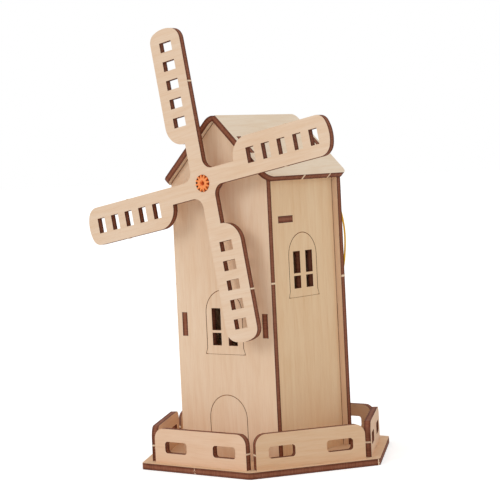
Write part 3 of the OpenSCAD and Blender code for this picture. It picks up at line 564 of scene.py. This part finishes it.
# Collars where the two leads enter the side of the tray.
LEAD_R, LEADS_OUT = 0.45, ((37, 78), (37, 81.4))
collar = ((LEAD_R + 0.02, -0.3), (1.2, -0.3), (1.15, 0.15), (0.95, 0.35), (LEAD_R + 0.02, 0.35))
for y, z in LEADS_OUT:
    skin(build, [[(tray_high.x + out, y + r * math.cos(math.tau * k / 24),
                   z + r * math.sin(math.tau * k / 24))
                  for k in range(24)] for r, out in collar], joined=True)
# ABS, injection moulded in black: spark-eroded texture of about 0.1 mm, drawn at 0.35 mm so that
# it shows, which scatters the gloss.
black_abs = finish_of("moulded black ABS", "#242426", "#19191b", (0.35, 0.35, 0.35), (0.34, 0.5), 0.03)
settle("battery_tray", made_of(build, "battery_tray", black_abs), "tower", "black_plastic", "battery_case")

# Foam tape: white closed-cell polyethylene, its cells a few tenths of a millimetre wide.
refinish("tape_pad", finish_of("polyethylene foam tape", "#f2f1ec", "#d9d7cf", (0.35, 0.35, 0.35),
                               (0.75, 0.95), 0.12))

# ---- Cells ----
# Two AAA cells, one turned over, each a drawn steel can in a shrunk plastic sleeve. Each lies
# between a conical spring and a plain contact plate.
sleeve_build, cap_build = bmesh.new(), bmesh.new()


def upright_ring(x, z, radius, sides=48):
    """Round ring at z, about the axis of a cell."""
    return [(x + radius * math.cos(math.tau * k / sides), cell_y + radius * math.sin(math.tau * k / sides),
             z) for k in range(sides)]


def up_cell(z, flipped):
    """Height of what lies z mm from the flat end of a cell."""
    return cells_high.z - z if flipped else cells_low.z + z


BUTTON, cell_h = 0.8, cells_high.z - cells_low.z
for x, flipped in ((-cell_x, False), (cell_x, True)):
    skin(sleeve_build, [upright_ring(x, up_cell(z, flipped), r) for z, r in (
        (0.05, cell_r - 1.1), (0.0, cell_r - 0.6), (0.25, cell_r - 0.08), (0.6, cell_r),
        (cell_h - BUTTON - 0.9, cell_r),
        (cell_h - BUTTON - 0.35, cell_r - 0.15), (cell_h - BUTTON, cell_r - 0.8),
        (cell_h - BUTTON - 0.1, cell_r - 1.5),
        (cell_h - BUTTON - 0.4, cell_r - 1.6), (0.4, cell_r - 1.6))], joined=True)
    skin(cap_build, [upright_ring(x, up_cell(z, flipped), r) for z, r in (
        (0.12, cell_r - 2.2), (0.18, cell_r - 1.5), (0.45, cell_r - 1.55),
        (cell_h - BUTTON - 0.45, cell_r - 1.55),
        (cell_h - BUTTON - 0.25, 2.4), (cell_h - BUTTON - 0.2, 1.9), (cell_h - 0.25, 1.8), (cell_h, 1.5))])
# PVC shrink sleeve, plain blue all over, glossy with a slight ripple from the heat.
sleeve_pvc = finish_of("shrunk PVC sleeve", "#2d5aa0", "#264e8e", (6, 6, 12), (0.18, 0.3), 0.02,
                       **{"Coat Weight": 0.3})
settle("cell_sleeves", made_of(sleeve_build, "cell_sleeves", sleeve_pvc), "tower", "cell_sleeve",
       "battery_cells")
# Nickel-plated steel: bright, slightly warm, with fine drawing marks.
nickel = finish_of("nickel-plated steel", "#cfccc4", "#bcb8ae", (1.5, 1.5, 4), (0.16, 0.28), 0.004,
                   Metallic=1.0)
settle("cell_ends", made_of(cap_build, "cell_ends", nickel), "tower", "spring_steel")
refinish("battery_contacts", nickel)

# Conical contact springs of 0.5 mm wire: each presses on the flat end of its cell. The tree winds
# the wire between two heights.
spring, put = add_tree("spring", Turns="Float", Wide="Float", Narrow="Float", Height="Float", Wire="Float",
                       Place="Vector", Finish="Material")
helix = add(spring, "GeometryNodeCurveSpiral", {"Resolution": 28, "Rotations": put["Turns"],
            "Start Radius": put["Wide"], "End Radius": put["Narrow"], "Height": put["Height"]})
section = add(spring, "GeometryNodeCurvePrimitiveCircle", {"Radius": put["Wire"], "Resolution": 10})
coiled = add(spring, "GeometryNodeCurveToMesh",
             {"Curve": helix.outputs[0], "Profile Curve": section.outputs[0], "Fill Caps": True})
stood = add(spring, "GeometryNodeTransform", {"Geometry": coiled.outputs[0], "Translation": put["Place"]})
plated = add(spring, "GeometryNodeSetMaterial", {"Geometry": stood.outputs[0], "Material": put["Finish"]})
add(spring, "NodeGroupOutput", {"Geometry": plated.outputs[0]})
springs_low, springs_high = corners_of("battery_springs")
SPRING_WIRE = 0.25
both = bmesh.new()
for x, foot, tip in ((-cell_x, springs_low.z, cells_low.z), (cell_x, springs_high.z, cells_high.z)):
    sign = 1 if tip > foot else -1
    one = grow(spring, bpy.data.meshes.new("empty"), Turns=3.0, Wide=2.6 * MM, Narrow=1.5 * MM,
               Height=(tip - foot - sign * 2 * SPRING_WIRE) * MM, Wire=SPRING_WIRE * MM,
               Place=(x * MM, cell_y * MM, (foot + sign * SPRING_WIRE) * MM), Finish=nickel)
    both.from_mesh(one)
springs = bpy.data.meshes.new("springs")
bmesh.ops.recalc_face_normals(both, faces=both.faces)
both.to_mesh(springs)
springs.materials.append(nickel)
springs.shade_smooth()
settle("springs", springs, "tower", "spring_steel", "battery_springs")


# ---- Cover, screw and switch ----
# The cover is held by one pan-head screw and has a window for the knob of the slide switch, and
# ribs for the thumb. The knob is ridged across its travel.
def carve(target, cutter):
    """Cuts one build out of another and returns the mesh."""
    pieces_made = []
    for part, label in ((target, "whole"), (cutter, "cutter")):
        bmesh.ops.recalc_face_normals(part, faces=part.faces)
        raw = bpy.data.meshes.new(label)
        part.to_mesh(raw)
        part.free()
        pieces_made.append(bpy.data.objects.new(label, raw))
        bpy.context.collection.objects.link(pieces_made[-1])
    whole, tool = pieces_made
    cut = whole.modifiers.new("cut", "BOOLEAN")
    cut.operation, cut.solver, cut.object, cut.use_self = "DIFFERENCE", "EXACT", tool, True
    bpy.context.view_layer.update()
    carved = bmesh.new()
    result = whole.evaluated_get(bpy.context.evaluated_depsgraph_get())
    carved.from_mesh(bpy.data.meshes.new_from_object(result))
    for part in pieces_made:
        bpy.data.objects.remove(part)
    return carved


build, holes = bmesh.new(), bmesh.new()
lid_corners = (lid_low.x, lid_low.z), (lid_high.x, lid_high.z)
skin(build, [box_ring(lid_low.y, *lid_corners, CORNER, 0.12),
             box_ring(lid_low.y + 0.12, *lid_corners, CORNER)]
     + [box_ring(lid_high.y - advance, *lid_corners, CORNER, inset)
        for inset, advance in reversed(fillet(0.6))])
WINDOW_X, WINDOW_Z = 2.6, 1.1
skin(holes, [box_ring(y, (-WINDOW_X - g, screw_z - WINDOW_Z - g), (WINDOW_X + g, screw_z + WINDOW_Z + g),
                      0.2)
             for y, g in ((lid_low.y - 1, 0), (lid_high.y - 0.25, 0), (lid_high.y + 0.25, 0.5))])
SCREW_HOLE_R = 1.1
skin(holes, [ring_round(screw_x, screw_z, y, SCREW_HOLE_R, 40)
             for y in (lid_low.y - 1, lid_high.y - 0.001, lid_high.y + 1)])
lid_build = carve(build, holes)
settle("battery_lid", made_of(lid_build, "battery_lid", black_abs), "tower", "black_plastic",
       "battery_cover")

# Thumb ribs, moulded on the cover: the tree repeats one rib down the cover.
ribs, put = add_tree("thumb_ribs", Count="Int", Pitch="Vector", Start="Vector", Finish="Material")
row = add(ribs, "GeometryNodeMeshLine", {"Count": put["Count"], "Start Location": put["Start"],
                                         "Offset": put["Pitch"]})
each = add(ribs, "GeometryNodeInstanceOnPoints", {"Points": row.outputs[0], "Instance": put["Geometry"]})
real = add(ribs, "GeometryNodeRealizeInstances", {"Geometry": each.outputs[0]})
done = add(ribs, "GeometryNodeSetMaterial", {"Geometry": real.outputs[0], "Material": put["Finish"]})
add(ribs, "NodeGroupOutput", {"Geometry": done.outputs[0]})
RIB_HALF, RIB_W, RIB_H, RIB_PITCH, RIBS = 6.5, 0.45, 0.4, 1.9, 7
rib_build = bmesh.new()
skin(rib_build, [box_ring(y, (-RIB_HALF + g, -RIB_W + g), (RIB_HALF - g, RIB_W - g), 0.44 - g)
                 for y, g in ((-0.2, 0), (RIB_H * 0.5, 0.04), (RIB_H * 0.85, 0.16), (RIB_H, 0.34))])
all_ribs = grow(ribs, made_of(rib_build, "one_rib", black_abs), Count=RIBS, Pitch=(0, 0, RIB_PITCH * MM),
                Start=(0, lid_high.y * MM, (lid_low.z + 7) * MM), Finish=black_abs)
settle("thumb_ribs", all_ribs, "tower", "black_plastic")

# Pan-head screw with a cross recess. The thread is a ring whose radius winds round with the pitch.
HEAD_R, HEAD_H, SHANK_R, THREAD, PITCH, SCREW_SIDES, RING_STEP = 1.9, 1.2, 0.78, 0.22, 0.8, 24, 0.1
build, cross = bmesh.new(), bmesh.new()
threaded = []
for k in range(int((screw_high.y - HEAD_H - screw_low.y - 1.0) / RING_STEP) + 1):
    y = screw_low.y + 0.6 + RING_STEP * k
    threaded.append([(screw_x + r * math.cos(t), y, screw_z + r * math.sin(t)) for t, r in (
        (math.tau * i / SCREW_SIDES, SHANK_R + THREAD * abs(((y / PITCH - i / SCREW_SIDES) % 1) * 2 - 1))
        for i in range(SCREW_SIDES))])
top = screw_high.y - HEAD_H
head = [ring_round(screw_x, screw_z, top + rise, radius, SCREW_SIDES) for radius, rise in (
    (1.0, -0.2), (1.0, 0), (HEAD_R - 0.1, 0), (HEAD_R, 0.12), (HEAD_R - 0.03, 0.4), (1.65, 0.8), (1.2, 1.1),
    (0.7, HEAD_H))]
skin(build, [ring_round(screw_x, screw_z, screw_low.y, 0.15, SCREW_SIDES)] + threaded + head)
ARM, ARM_W, RECESS = 1.15, 0.26, 0.75
for half_x, half_z in ((ARM, ARM_W), (ARM_W, ARM)):
    skin(cross, [[(screw_x + a * half_x * s, y, screw_z + b * half_z * s)
                  for a, b in ((1, 1), (-1, 1), (-1, -1), (1, -1))]
                 for y, s in ((screw_high.y - RECESS, 0.45), (screw_high.y + 0.3, 1.1))])
# Zinc-plated steel, bright chromate: cool silver with a faint haze.
zinc_bright = finish_of("bright zinc-plated steel", "#c3c7cc", "#a8adb4", (0.8, 0.8, 0.8), (0.2, 0.34),
                        0.004, Metallic=1.0)
settle("lid_screw", made_of(carve(build, cross), "lid_screw", zinc_bright), "tower", "screw_steel",
       "cover_screw")

# Switch body: black moulding under the cover. The knob rides in it: glass-filled nylon, satin.
refinish("switch_body", finish_of("moulded black acetal", "#202123", "#18191a", (0.4, 0.4, 0.4),
                                  (0.3, 0.42), 0.02))
knob_low, knob_high = corners_of("switch_slider")
RIDGES, RIDGE_H = 3, 0.45
profile = [(knob_low.x, knob_low.y)]
ridge_w = (knob_high.x - knob_low.x) / RIDGES
for k in range(RIDGES):
    x = knob_low.x + k * ridge_w
    before, after = 1.0 if k else 0.5, 1.0 if k < RIDGES - 1 else 0.5
    profile += [(x + ridge_w * f, knob_high.y - RIDGE_H * d) for f, d in (
        (0.02, before), (0.2, 0.12), (0.35, 0), (0.65, 0), (0.8, 0.12), (0.98, after))]
profile.append((knob_high.x, knob_low.y))
build = bmesh.new()
KNOB_EDGE, knob_mid_x = 0.06, (knob_low.x + knob_high.x) / 2
skin(build, [[(x + (KNOB_EDGE if x < knob_mid_x else -KNOB_EDGE) * s, y - KNOB_EDGE * s, z)
              for x, y in profile]
             for z, s in ((knob_low.z, 1), (knob_low.z + KNOB_EDGE, 0),
                          (knob_high.z - KNOB_EDGE, 0), (knob_high.z, 1))])
satin_nylon = finish_of("glass-filled black nylon", "#2b2c2e", "#1e1f20", (0.4, 0.4, 0.4), (0.42, 0.55),
                        0.02)
settle("switch_knob", made_of(build, "switch_knob", satin_nylon), "slider", "switch_plastic",
       "switch_slider")

# ---- Leads ----
# Two 0.9 mm stranded leads in soft PVC, yellow and black. They are soldered to the motor's
# terminals, leave through the hole in the back wall, hang in a loop and enter the battery case.
YELLOW_ROUTE = [(7.5, 2, 132), (7.5, 5, 132), (7.9, 10, 131.6), (9.3, 15.4, 129.8), (11.5, 20.2, 127),
    (13.2, 24.5, 124.9), (14, 28, 124.3), (15.4, 31, 123.8), (18.4, 33.4, 122.4), (21.4, 34.6, 119.8),
    (23.6, 35, 115), (24.8, 35, 110), (25.4, 35, 105), (25.4, 35, 100), (24.9, 35.1, 95),
    (23.9, 35.5, 90), (22.1, 36.1, 85.4), (19.2, 36.8, 81.2), (16, 37, 78.6), (13, 37, 78)]
BLACK_ROUTE = [(-7.5, 2, 132), (-7.5, 5.4, 132), (-6.4, 9.8, 131.6), (-2.6, 14, 130.6), (2, 17, 129),
    (6.4, 20.2, 126.8), (10, 24, 124.8), (12, 28, 123.6), (13.4, 31, 122.6), (15.4, 33.6, 120),
    (17, 35, 115.6), (17.8, 35.6, 110.4), (18.2, 35.8, 105), (18.4, 36, 99.6), (18.4, 36.2, 94.4),
    (18.2, 36.4, 89.6), (17.4, 36.8, 85.4), (15.6, 37, 82.4), (13, 37, 81.4)]


def lay_lead(name, route, sleeve, node):
    points = [Vector(p) * MM for p in route]
    line = bpy.data.curves.new(name, "CURVE")
    line.dimensions = "3D"
    line.resolution_u, line.bevel_resolution = 8, 4
    line.bevel_depth = LEAD_R * MM
    line.use_fill_caps = True
    spline = line.splines.new("BEZIER")
    spline.bezier_points.add(len(points) - 1)
    for i, (knot, point) in enumerate(zip(spline.bezier_points, points)):
        before, after = points[max(i - 1, 0)], points[min(i + 1, len(points) - 1)]
        run = (after - before) / 6
        knot.handle_left_type = knot.handle_right_type = "FREE"
        knot.co, knot.handle_left, knot.handle_right = point, point - run, point + run
    line.materials.append(sleeve)
    lead = bpy.data.objects.new(name, line)
    bpy.context.collection.objects.link(lead)
    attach(lead, "tower")
    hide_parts(node)


# Plasticised PVC, extruded: soft gloss, slightly uneven in colour along the lead.
lay_lead("lead_yellow_wire", YELLOW_ROUTE,
         finish_of("extruded yellow PVC", "#f0c024", "#dcac14", (2, 2, 5), (0.3, 0.42), 0.01),
         "lead_yellow")
lay_lead("lead_black_wire", BLACK_ROUTE,
         finish_of("extruded black PVC", "#26272a", "#1a1b1d", (2, 2, 5), (0.3, 0.42), 0.01),
         "lead_black")

# Solder beads over the bared ends, drawn up the lead by the heat.
build = bmesh.new()
BEAD = ((0.0, 0.05), (0.15, 0.5), (0.5, 0.85), (1.0, 0.95), (1.5, 0.8), (2.0, 0.6), (2.5, 0.5), (2.6, 0.4))
BEAD_SIDES, bead_y = 28, YELLOW_ROUTE[0][1] - 1.4
for x in (YELLOW_ROUTE[0][0], BLACK_ROUTE[0][0]):
    skin(build, [[(x + r * (0.85 + 0.1 * math.sin(3 * t + x)) * math.cos(t), bead_y + y,
                   hub_z + r * (1 + 0.08 * math.cos(2 * t)) * math.sin(t))
                  for t in (math.tau * k / BEAD_SIDES for k in range(BEAD_SIDES))] for y, r in BEAD])
# Tin-lead-free solder: bright silver-grey, mirror-like where it flowed.
solder = finish_of("tin solder", "#c4c6c8", "#aeb1b5", (1, 1, 1), (0.15, 0.35), 0.01, Metallic=1.0)
settle("solder_beads", made_of(build, "solder_beads", solder), "tower", "terminal_brass")

# ---- Roof ----
# Two panels hang on tabs of the gables, the right one with large rounded eaves. The grain runs from front
# to back. Their veneer is paler than the walls': a painted highlight for the light from above that they
# face.
for name, seed in (("roof_right", 9.6), ("roof_left", 11.2)):
    # The paler veneer is a painted highlight from above.
    cut_from_sheet(name, (0, 1, 0), "#f4e5d0", seed)

# ---- Fence ----
# Six low panels with round top corners and two finger slots each, tabbed into the base. Offcuts of
# the same sheet: the grain runs along each panel.
for k, name in enumerate(("fence_front", "fence_front_right", "fence_back_right", "fence_back",
                          "fence_back_left", "fence_front_left")):
    turned_by = math.radians(60 * k)
    # The front-right panel's darker veneer is painted shade on the side turned away from the key.
    veneer = "#e6c5a3" if k == 1 else "#ebccb1"
    cut_from_sheet(name, (math.cos(turned_by), math.sin(turned_by), 0), veneer, 13.1 + 2.7 * k)

# ---- Sails ----
# A cross of four blades in one piece of plywood, five windows in each blade. The grain runs along
# two of the blades and across the other two.
SAIL_TURN = math.radians(10)
cut_from_sheet("sail_cross", (math.cos(SAIL_TURN), 0, math.sin(SAIL_TURN)), "#ecd3ba", 31.4)

# Twelve round-tipped teeth, and a countersunk bore that shows the end of the shaft deep inside.
gear_low, gear_high = corners_of("hub_gear")
TEETH, TIP_R, ROOT_R, BORE_R, SINK_R, PER_TOOTH = 12, 3.98, 2.6, 1.0, 1.3, 12


def gear_ring(y, inset=0.0):
    """Toothed ring at y, drawn in by inset."""
    points = []
    for k in range(TEETH * PER_TOOTH):
        turn = math.tau * k / (TEETH * PER_TOOTH)
        crest = min(max((math.cos(TEETH * turn) + 0.15) / 0.9, 0), 1)
        reach = ROOT_R + (TIP_R - ROOT_R) * math.sin(math.pi / 2 * crest) - inset
        points.append((reach * math.cos(turn + SAIL_TURN), y, hub_z + reach * math.sin(turn + SAIL_TURN)))
    return points


def bore_ring(y, radius):
    """Round ring at y with as many points as the toothed one."""
    return [(radius * math.cos(t), y, hub_z + radius * math.sin(t))
            for t in (math.tau * k / (TEETH * PER_TOOTH) + SAIL_TURN for k in range(TEETH * PER_TOOTH))]


build = bmesh.new()
skin(build, [bore_ring(gear_low.y + 0.5, BORE_R), bore_ring(gear_low.y + 0.35, SINK_R),
             bore_ring(gear_low.y + 0.06, SINK_R), bore_ring(gear_low.y, SINK_R + 0.06),
             gear_ring(gear_low.y, 0.12), gear_ring(gear_low.y + 0.04, 0.04), gear_ring(gear_low.y + 0.14),
             gear_ring(gear_high.y - 0.14), gear_ring(gear_high.y, 0.12),
             bore_ring(gear_high.y, SINK_R), bore_ring(gear_high.y - 0.3, BORE_R)], joined=True)
# Acetal (POM), injection moulded in orange: waxy, light goes a little way in, soft highlights.
orange_acetal = finish_of("moulded orange acetal", "#ff9c55", "#ff8c40", (0.8, 0.8, 0.8), (0.4, 0.5), 0.01,
                          **{"Subsurface Weight": 0.15, "Subsurface Scale": 0.5 * MM})
settle("drive_gear", made_of(build, "drive_gear", orange_acetal), "sails", "orange_plastic", "hub_gear")


# ---- Bridge stubs ----
# Each cut part stays in its sheet by small uncut bridges and is snapped out. The torn stubs stand
# a little proud of the scorched edge and show pale clean fibre.
stubs, put = add_tree("bridge_stubs", Wide="Float", Deep="Float", Proud="Float", Ragged="Float", Seed="Int",
                      Torn="Material")
lump = add(stubs, "GeometryNodeMeshCube", {"Vertices X": 6, "Vertices Y": 9, "Vertices Z": 4})
size = add(stubs, "ShaderNodeCombineXYZ", {0: put["Wide"], 1: put["Deep"], 2: put["Proud"]})
stubs.links.new(size.outputs[0], lump.inputs["Size"])
turn = add(stubs, "GeometryNodeInputNamedAttribute", {"Name": "turn"}, data_type="FLOAT_VECTOR")
length = add(stubs, "GeometryNodeInputNamedAttribute", {"Name": "stretch"}, data_type="FLOAT")
vary = add(stubs, "FunctionNodeRandomValue", {2: 0.8, 3: 1.15, "Seed": put["Seed"]}, data_type="FLOAT")
wide = add(stubs, "ShaderNodeMath", {0: vary.outputs[1], 1: length.outputs["Attribute"]},
           operation="MULTIPLY")
scaled = add(stubs, "ShaderNodeCombineXYZ", {0: wide.outputs[0], 1: 1.0, 2: vary.outputs[1]})
snapped = add(stubs, "GeometryNodeInstanceOnPoints",
              {"Points": put["Geometry"], "Instance": lump.outputs[0],
              "Rotation": turn.outputs["Attribute"], "Scale": scaled.outputs[0]})
real = add(stubs, "GeometryNodeRealizeInstances", {"Geometry": snapped.outputs[0]})
tear = add(stubs, "ShaderNodeTexNoise", {"Scale": 1 / (0.5 * MM), "Detail": 2.0})
centred = add(stubs, "ShaderNodeVectorMath", {0: tear.outputs["Color"], 1: (0.5, 0.5, 0.5)},
              operation="SUBTRACT")
torn = add(stubs, "ShaderNodeVectorMath", {0: centred.outputs[0], "Scale": put["Ragged"]},
           operation="SCALE")
ragged = add(stubs, "GeometryNodeSetPosition", {"Geometry": real.outputs[0], "Offset": torn.outputs[0]})
finished = add(stubs, "GeometryNodeSetMaterial", {"Geometry": ragged.outputs[0], "Material": put["Torn"]})
add(stubs, "NodeGroupOutput", {"Geometry": finished.outputs[0]})
# Torn basswood: clean, almost white-cream fibre, dull and rough, broken across the grain.
torn_fibre = finish_of("torn basswood fibre", "#fbe6cd", "#e9c7a2", (0.3, 0.3, 0.3), (0.8, 0.95), 0.08,
                       **{"Specular IOR Level": 0.1})
# In mm: how far the stubs on the widest edges are sunk, where the fence panels end and how far out
# they stand, how far the roof runs down from the ridge, and the size of a stub.
MID, SUNK, FENCE_END, FENCE_OUT, ROOF_RUN = SHEET / 2, 0.24, 27, 49.73, 41.605
STUB_WIDE, STUB_PROUD, STUB_RAGGED, STUB_SHORT = 0.9, 0.42, 0.22, 0.25
base_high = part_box("base_plate")[1] / MM
OUT_X, OUT_Y, UP = Vector((1, 0, 0)), Vector((0, 1, 0)), Vector((0, 0, 1))
EAVE_OUT, EAVE_UP = Vector((SLOPE, 0, -SLOPE)), Vector((SLOPE, 0, SLOPE))
eave = ROOF_RUN * EAVE_OUT + wall_high.z * UP + MID * EAVE_UP
# Each stub: its place, the directions outward and through the sheet, and its length as a share.
tower_stubs = [
    ((0, SUNK - base_high.y, MID), -OUT_Y, UP, 1), ((8, base_high.y - SUNK, MID), OUT_Y, UP, 1),
    ((base_high.x - SUNK, -0.4, MID), OUT_X, UP, 1), ((SUNK - base_high.x, 0.4, MID), -OUT_X, UP, 1),
    (eave - 3.4 * OUT_Y, EAVE_OUT, EAVE_UP, 1), (eave + 17 * OUT_Y, EAVE_OUT, EAVE_UP, 1)]
for x, y, z in ((1, -1, 84.9), (1, 1, 84.2), (-1, -1, 84.6), (-1, 1, 84.4)):
    tower_stubs.append(((x * wall_high.x, y * (wall_high.y - MID), z), x * OUT_X, OUT_Y, 1))
for k in range(6):
    around = Matrix.Rotation(math.radians(60 * k), 3, "Z")
    for end in (-1, 1):
        place = around @ Vector((end * FENCE_END, -FENCE_OUT, 10 + 0.25 * end))
        tower_stubs.append((place, end * (around @ OUT_X), around @ OUT_Y, 0.9))
hub = Vector((0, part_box("sail_cross")[0].y / MM + MID, hub_z))
sail_stubs = []
for k in range(4):
    around = Matrix.Rotation(-SAIL_TURN - math.radians(90 * k), 3, "Y")
    for reach, side, facing in ((48, -2.1, -1), (52, 16.1, 1)):
        sail_stubs.append((around @ Vector((reach, 0, side)) + hub, facing * (around @ UP), OUT_Y, 0.8))
for body, marks, seed in (("tower", tower_stubs, 3), ("sails", sail_stubs, 5)):
    spots = bpy.data.meshes.new("stub_places_" + body)
    spots.from_pydata([Vector(place) * MM for place, *_ in marks], [], [])
    spots.attributes.new("turn", "FLOAT_VECTOR", "POINT")
    spots.attributes.new("stretch", "FLOAT", "POINT")
    for i, (_, out, through, share) in enumerate(marks):
        turned = Matrix((through.cross(out), through, out)).transposed()
        spots.attributes["turn"].data[i].vector = turned.to_euler()
        spots.attributes["stretch"].data[i].value = share
    made = grow(stubs, spots, Wide=STUB_WIDE * MM, Deep=(SHEET - STUB_SHORT) * MM, Proud=STUB_PROUD * MM,
                Ragged=STUB_RAGGED * MM, Seed=seed, Torn=torn_fibre)
    settle("bridge_stubs_" + body, made, body, "plywood")

# ---- Studio ----
# A lightbox table of opal acrylic, lit from below so that it stays white in the shadows, a white
# tent all round and a soft key from the front. The camera stands in front and to the right, a
# little above the hub, slightly rolled.
floor_mesh = bpy.data.meshes.new("floor")
floor_mesh.from_pydata([(-9, -9, 0), (9, -9, 0), (9, 9, 0), (-9, 9, 0)], [], [(0, 1, 2, 3)])
floor = bpy.data.objects.new("floor", floor_mesh)
bpy.context.collection.objects.link(floor)
opal = bpy.data.materials.new("opal acrylic table")
opal.use_nodes = True
table = opal.node_tree
table.nodes.clear()
path = add(table, "ShaderNodeLightPath")
backlit = add(table, "ShaderNodeMath", {0: path.outputs["Is Camera Ray"], 1: 0.42}, operation="MULTIPLY")
surface = add(table, "ShaderNodeBsdfPrincipled", {"Base Color": (0.88, 0.88, 0.88, 1), "Roughness": 1.0,
              "Specular IOR Level": 0.0, "Emission Color": (1, 1, 1, 1),
              "Emission Strength": backlit.outputs[0]})
add(table, "ShaderNodeOutputMaterial", {"Surface": surface.outputs[0]})
floor_mesh.materials.append(opal)

world = bpy.data.worlds.new("studio")
bpy.context.scene.world = world
world.use_nodes = True
tent = world.node_tree
tent.nodes.clear()
path = add(tent, "ShaderNodeLightPath")
glow = add(tent, "ShaderNodeBackground", {"Color": (1, 0.99, 0.98, 1), "Strength": 0.81})
backdrop = add(tent, "ShaderNodeBackground", {"Color": (1, 1, 1, 1), "Strength": 1.0})
chosen = add(tent, "ShaderNodeMixShader", {0: path.outputs["Is Camera Ray"], 1: glow.outputs[0],
                                           2: backdrop.outputs[0]})
add(tent, "ShaderNodeOutputWorld", {"Surface": chosen.outputs[0]})

KEY_TOWARDS, KEY_STRENGTH, KEY_WIDTH = Vector((0.3, 0.85, -0.43)), 0.55, math.radians(28)
lamp = bpy.data.lights.new("key", "SUN")
lamp.energy, lamp.angle = KEY_STRENGTH, KEY_WIDTH
key = bpy.data.objects.new("key", lamp)
key.rotation_euler = KEY_TOWARDS.to_track_quat("-Z", "Y").to_euler()
bpy.context.collection.objects.link(key)

AZIMUTH, ELEVATION, ROLL = math.radians(39.86), math.radians(1.22), math.radians(-2.75)
AIM_HEIGHT, AIM_ASIDE, DISTANCE = 123.75, -27.19, 843.38
aside = Vector((math.cos(AZIMUTH), math.sin(AZIMUTH), 0))
back = Vector((math.sin(AZIMUTH) * math.cos(ELEVATION), -math.cos(AZIMUTH) * math.cos(ELEVATION),
               math.sin(ELEVATION)))
above = back.cross(aside)
lens = bpy.data.cameras.new("camera")
lens.sensor_width, lens.lens = 36, 127.2
lens.shift_x, lens.shift_y = 0.1, -0.1
lens.clip_start, lens.clip_end = 0.01, 50
camera = bpy.data.objects.new("camera", lens)
bpy.context.collection.objects.link(camera)
camera_axes = Matrix((math.cos(ROLL) * aside + math.sin(ROLL) * above,
                      math.cos(ROLL) * above - math.sin(ROLL) * aside, back)).transposed()
stand = (AIM_HEIGHT * UP + AIM_ASIDE * aside + DISTANCE * back) * MM
camera.matrix_world = Matrix.Translation(stand) @ camera_axes.to_4x4()
bpy.context.scene.camera = camera
bpy.context.scene.view_settings.view_transform = "Standard"
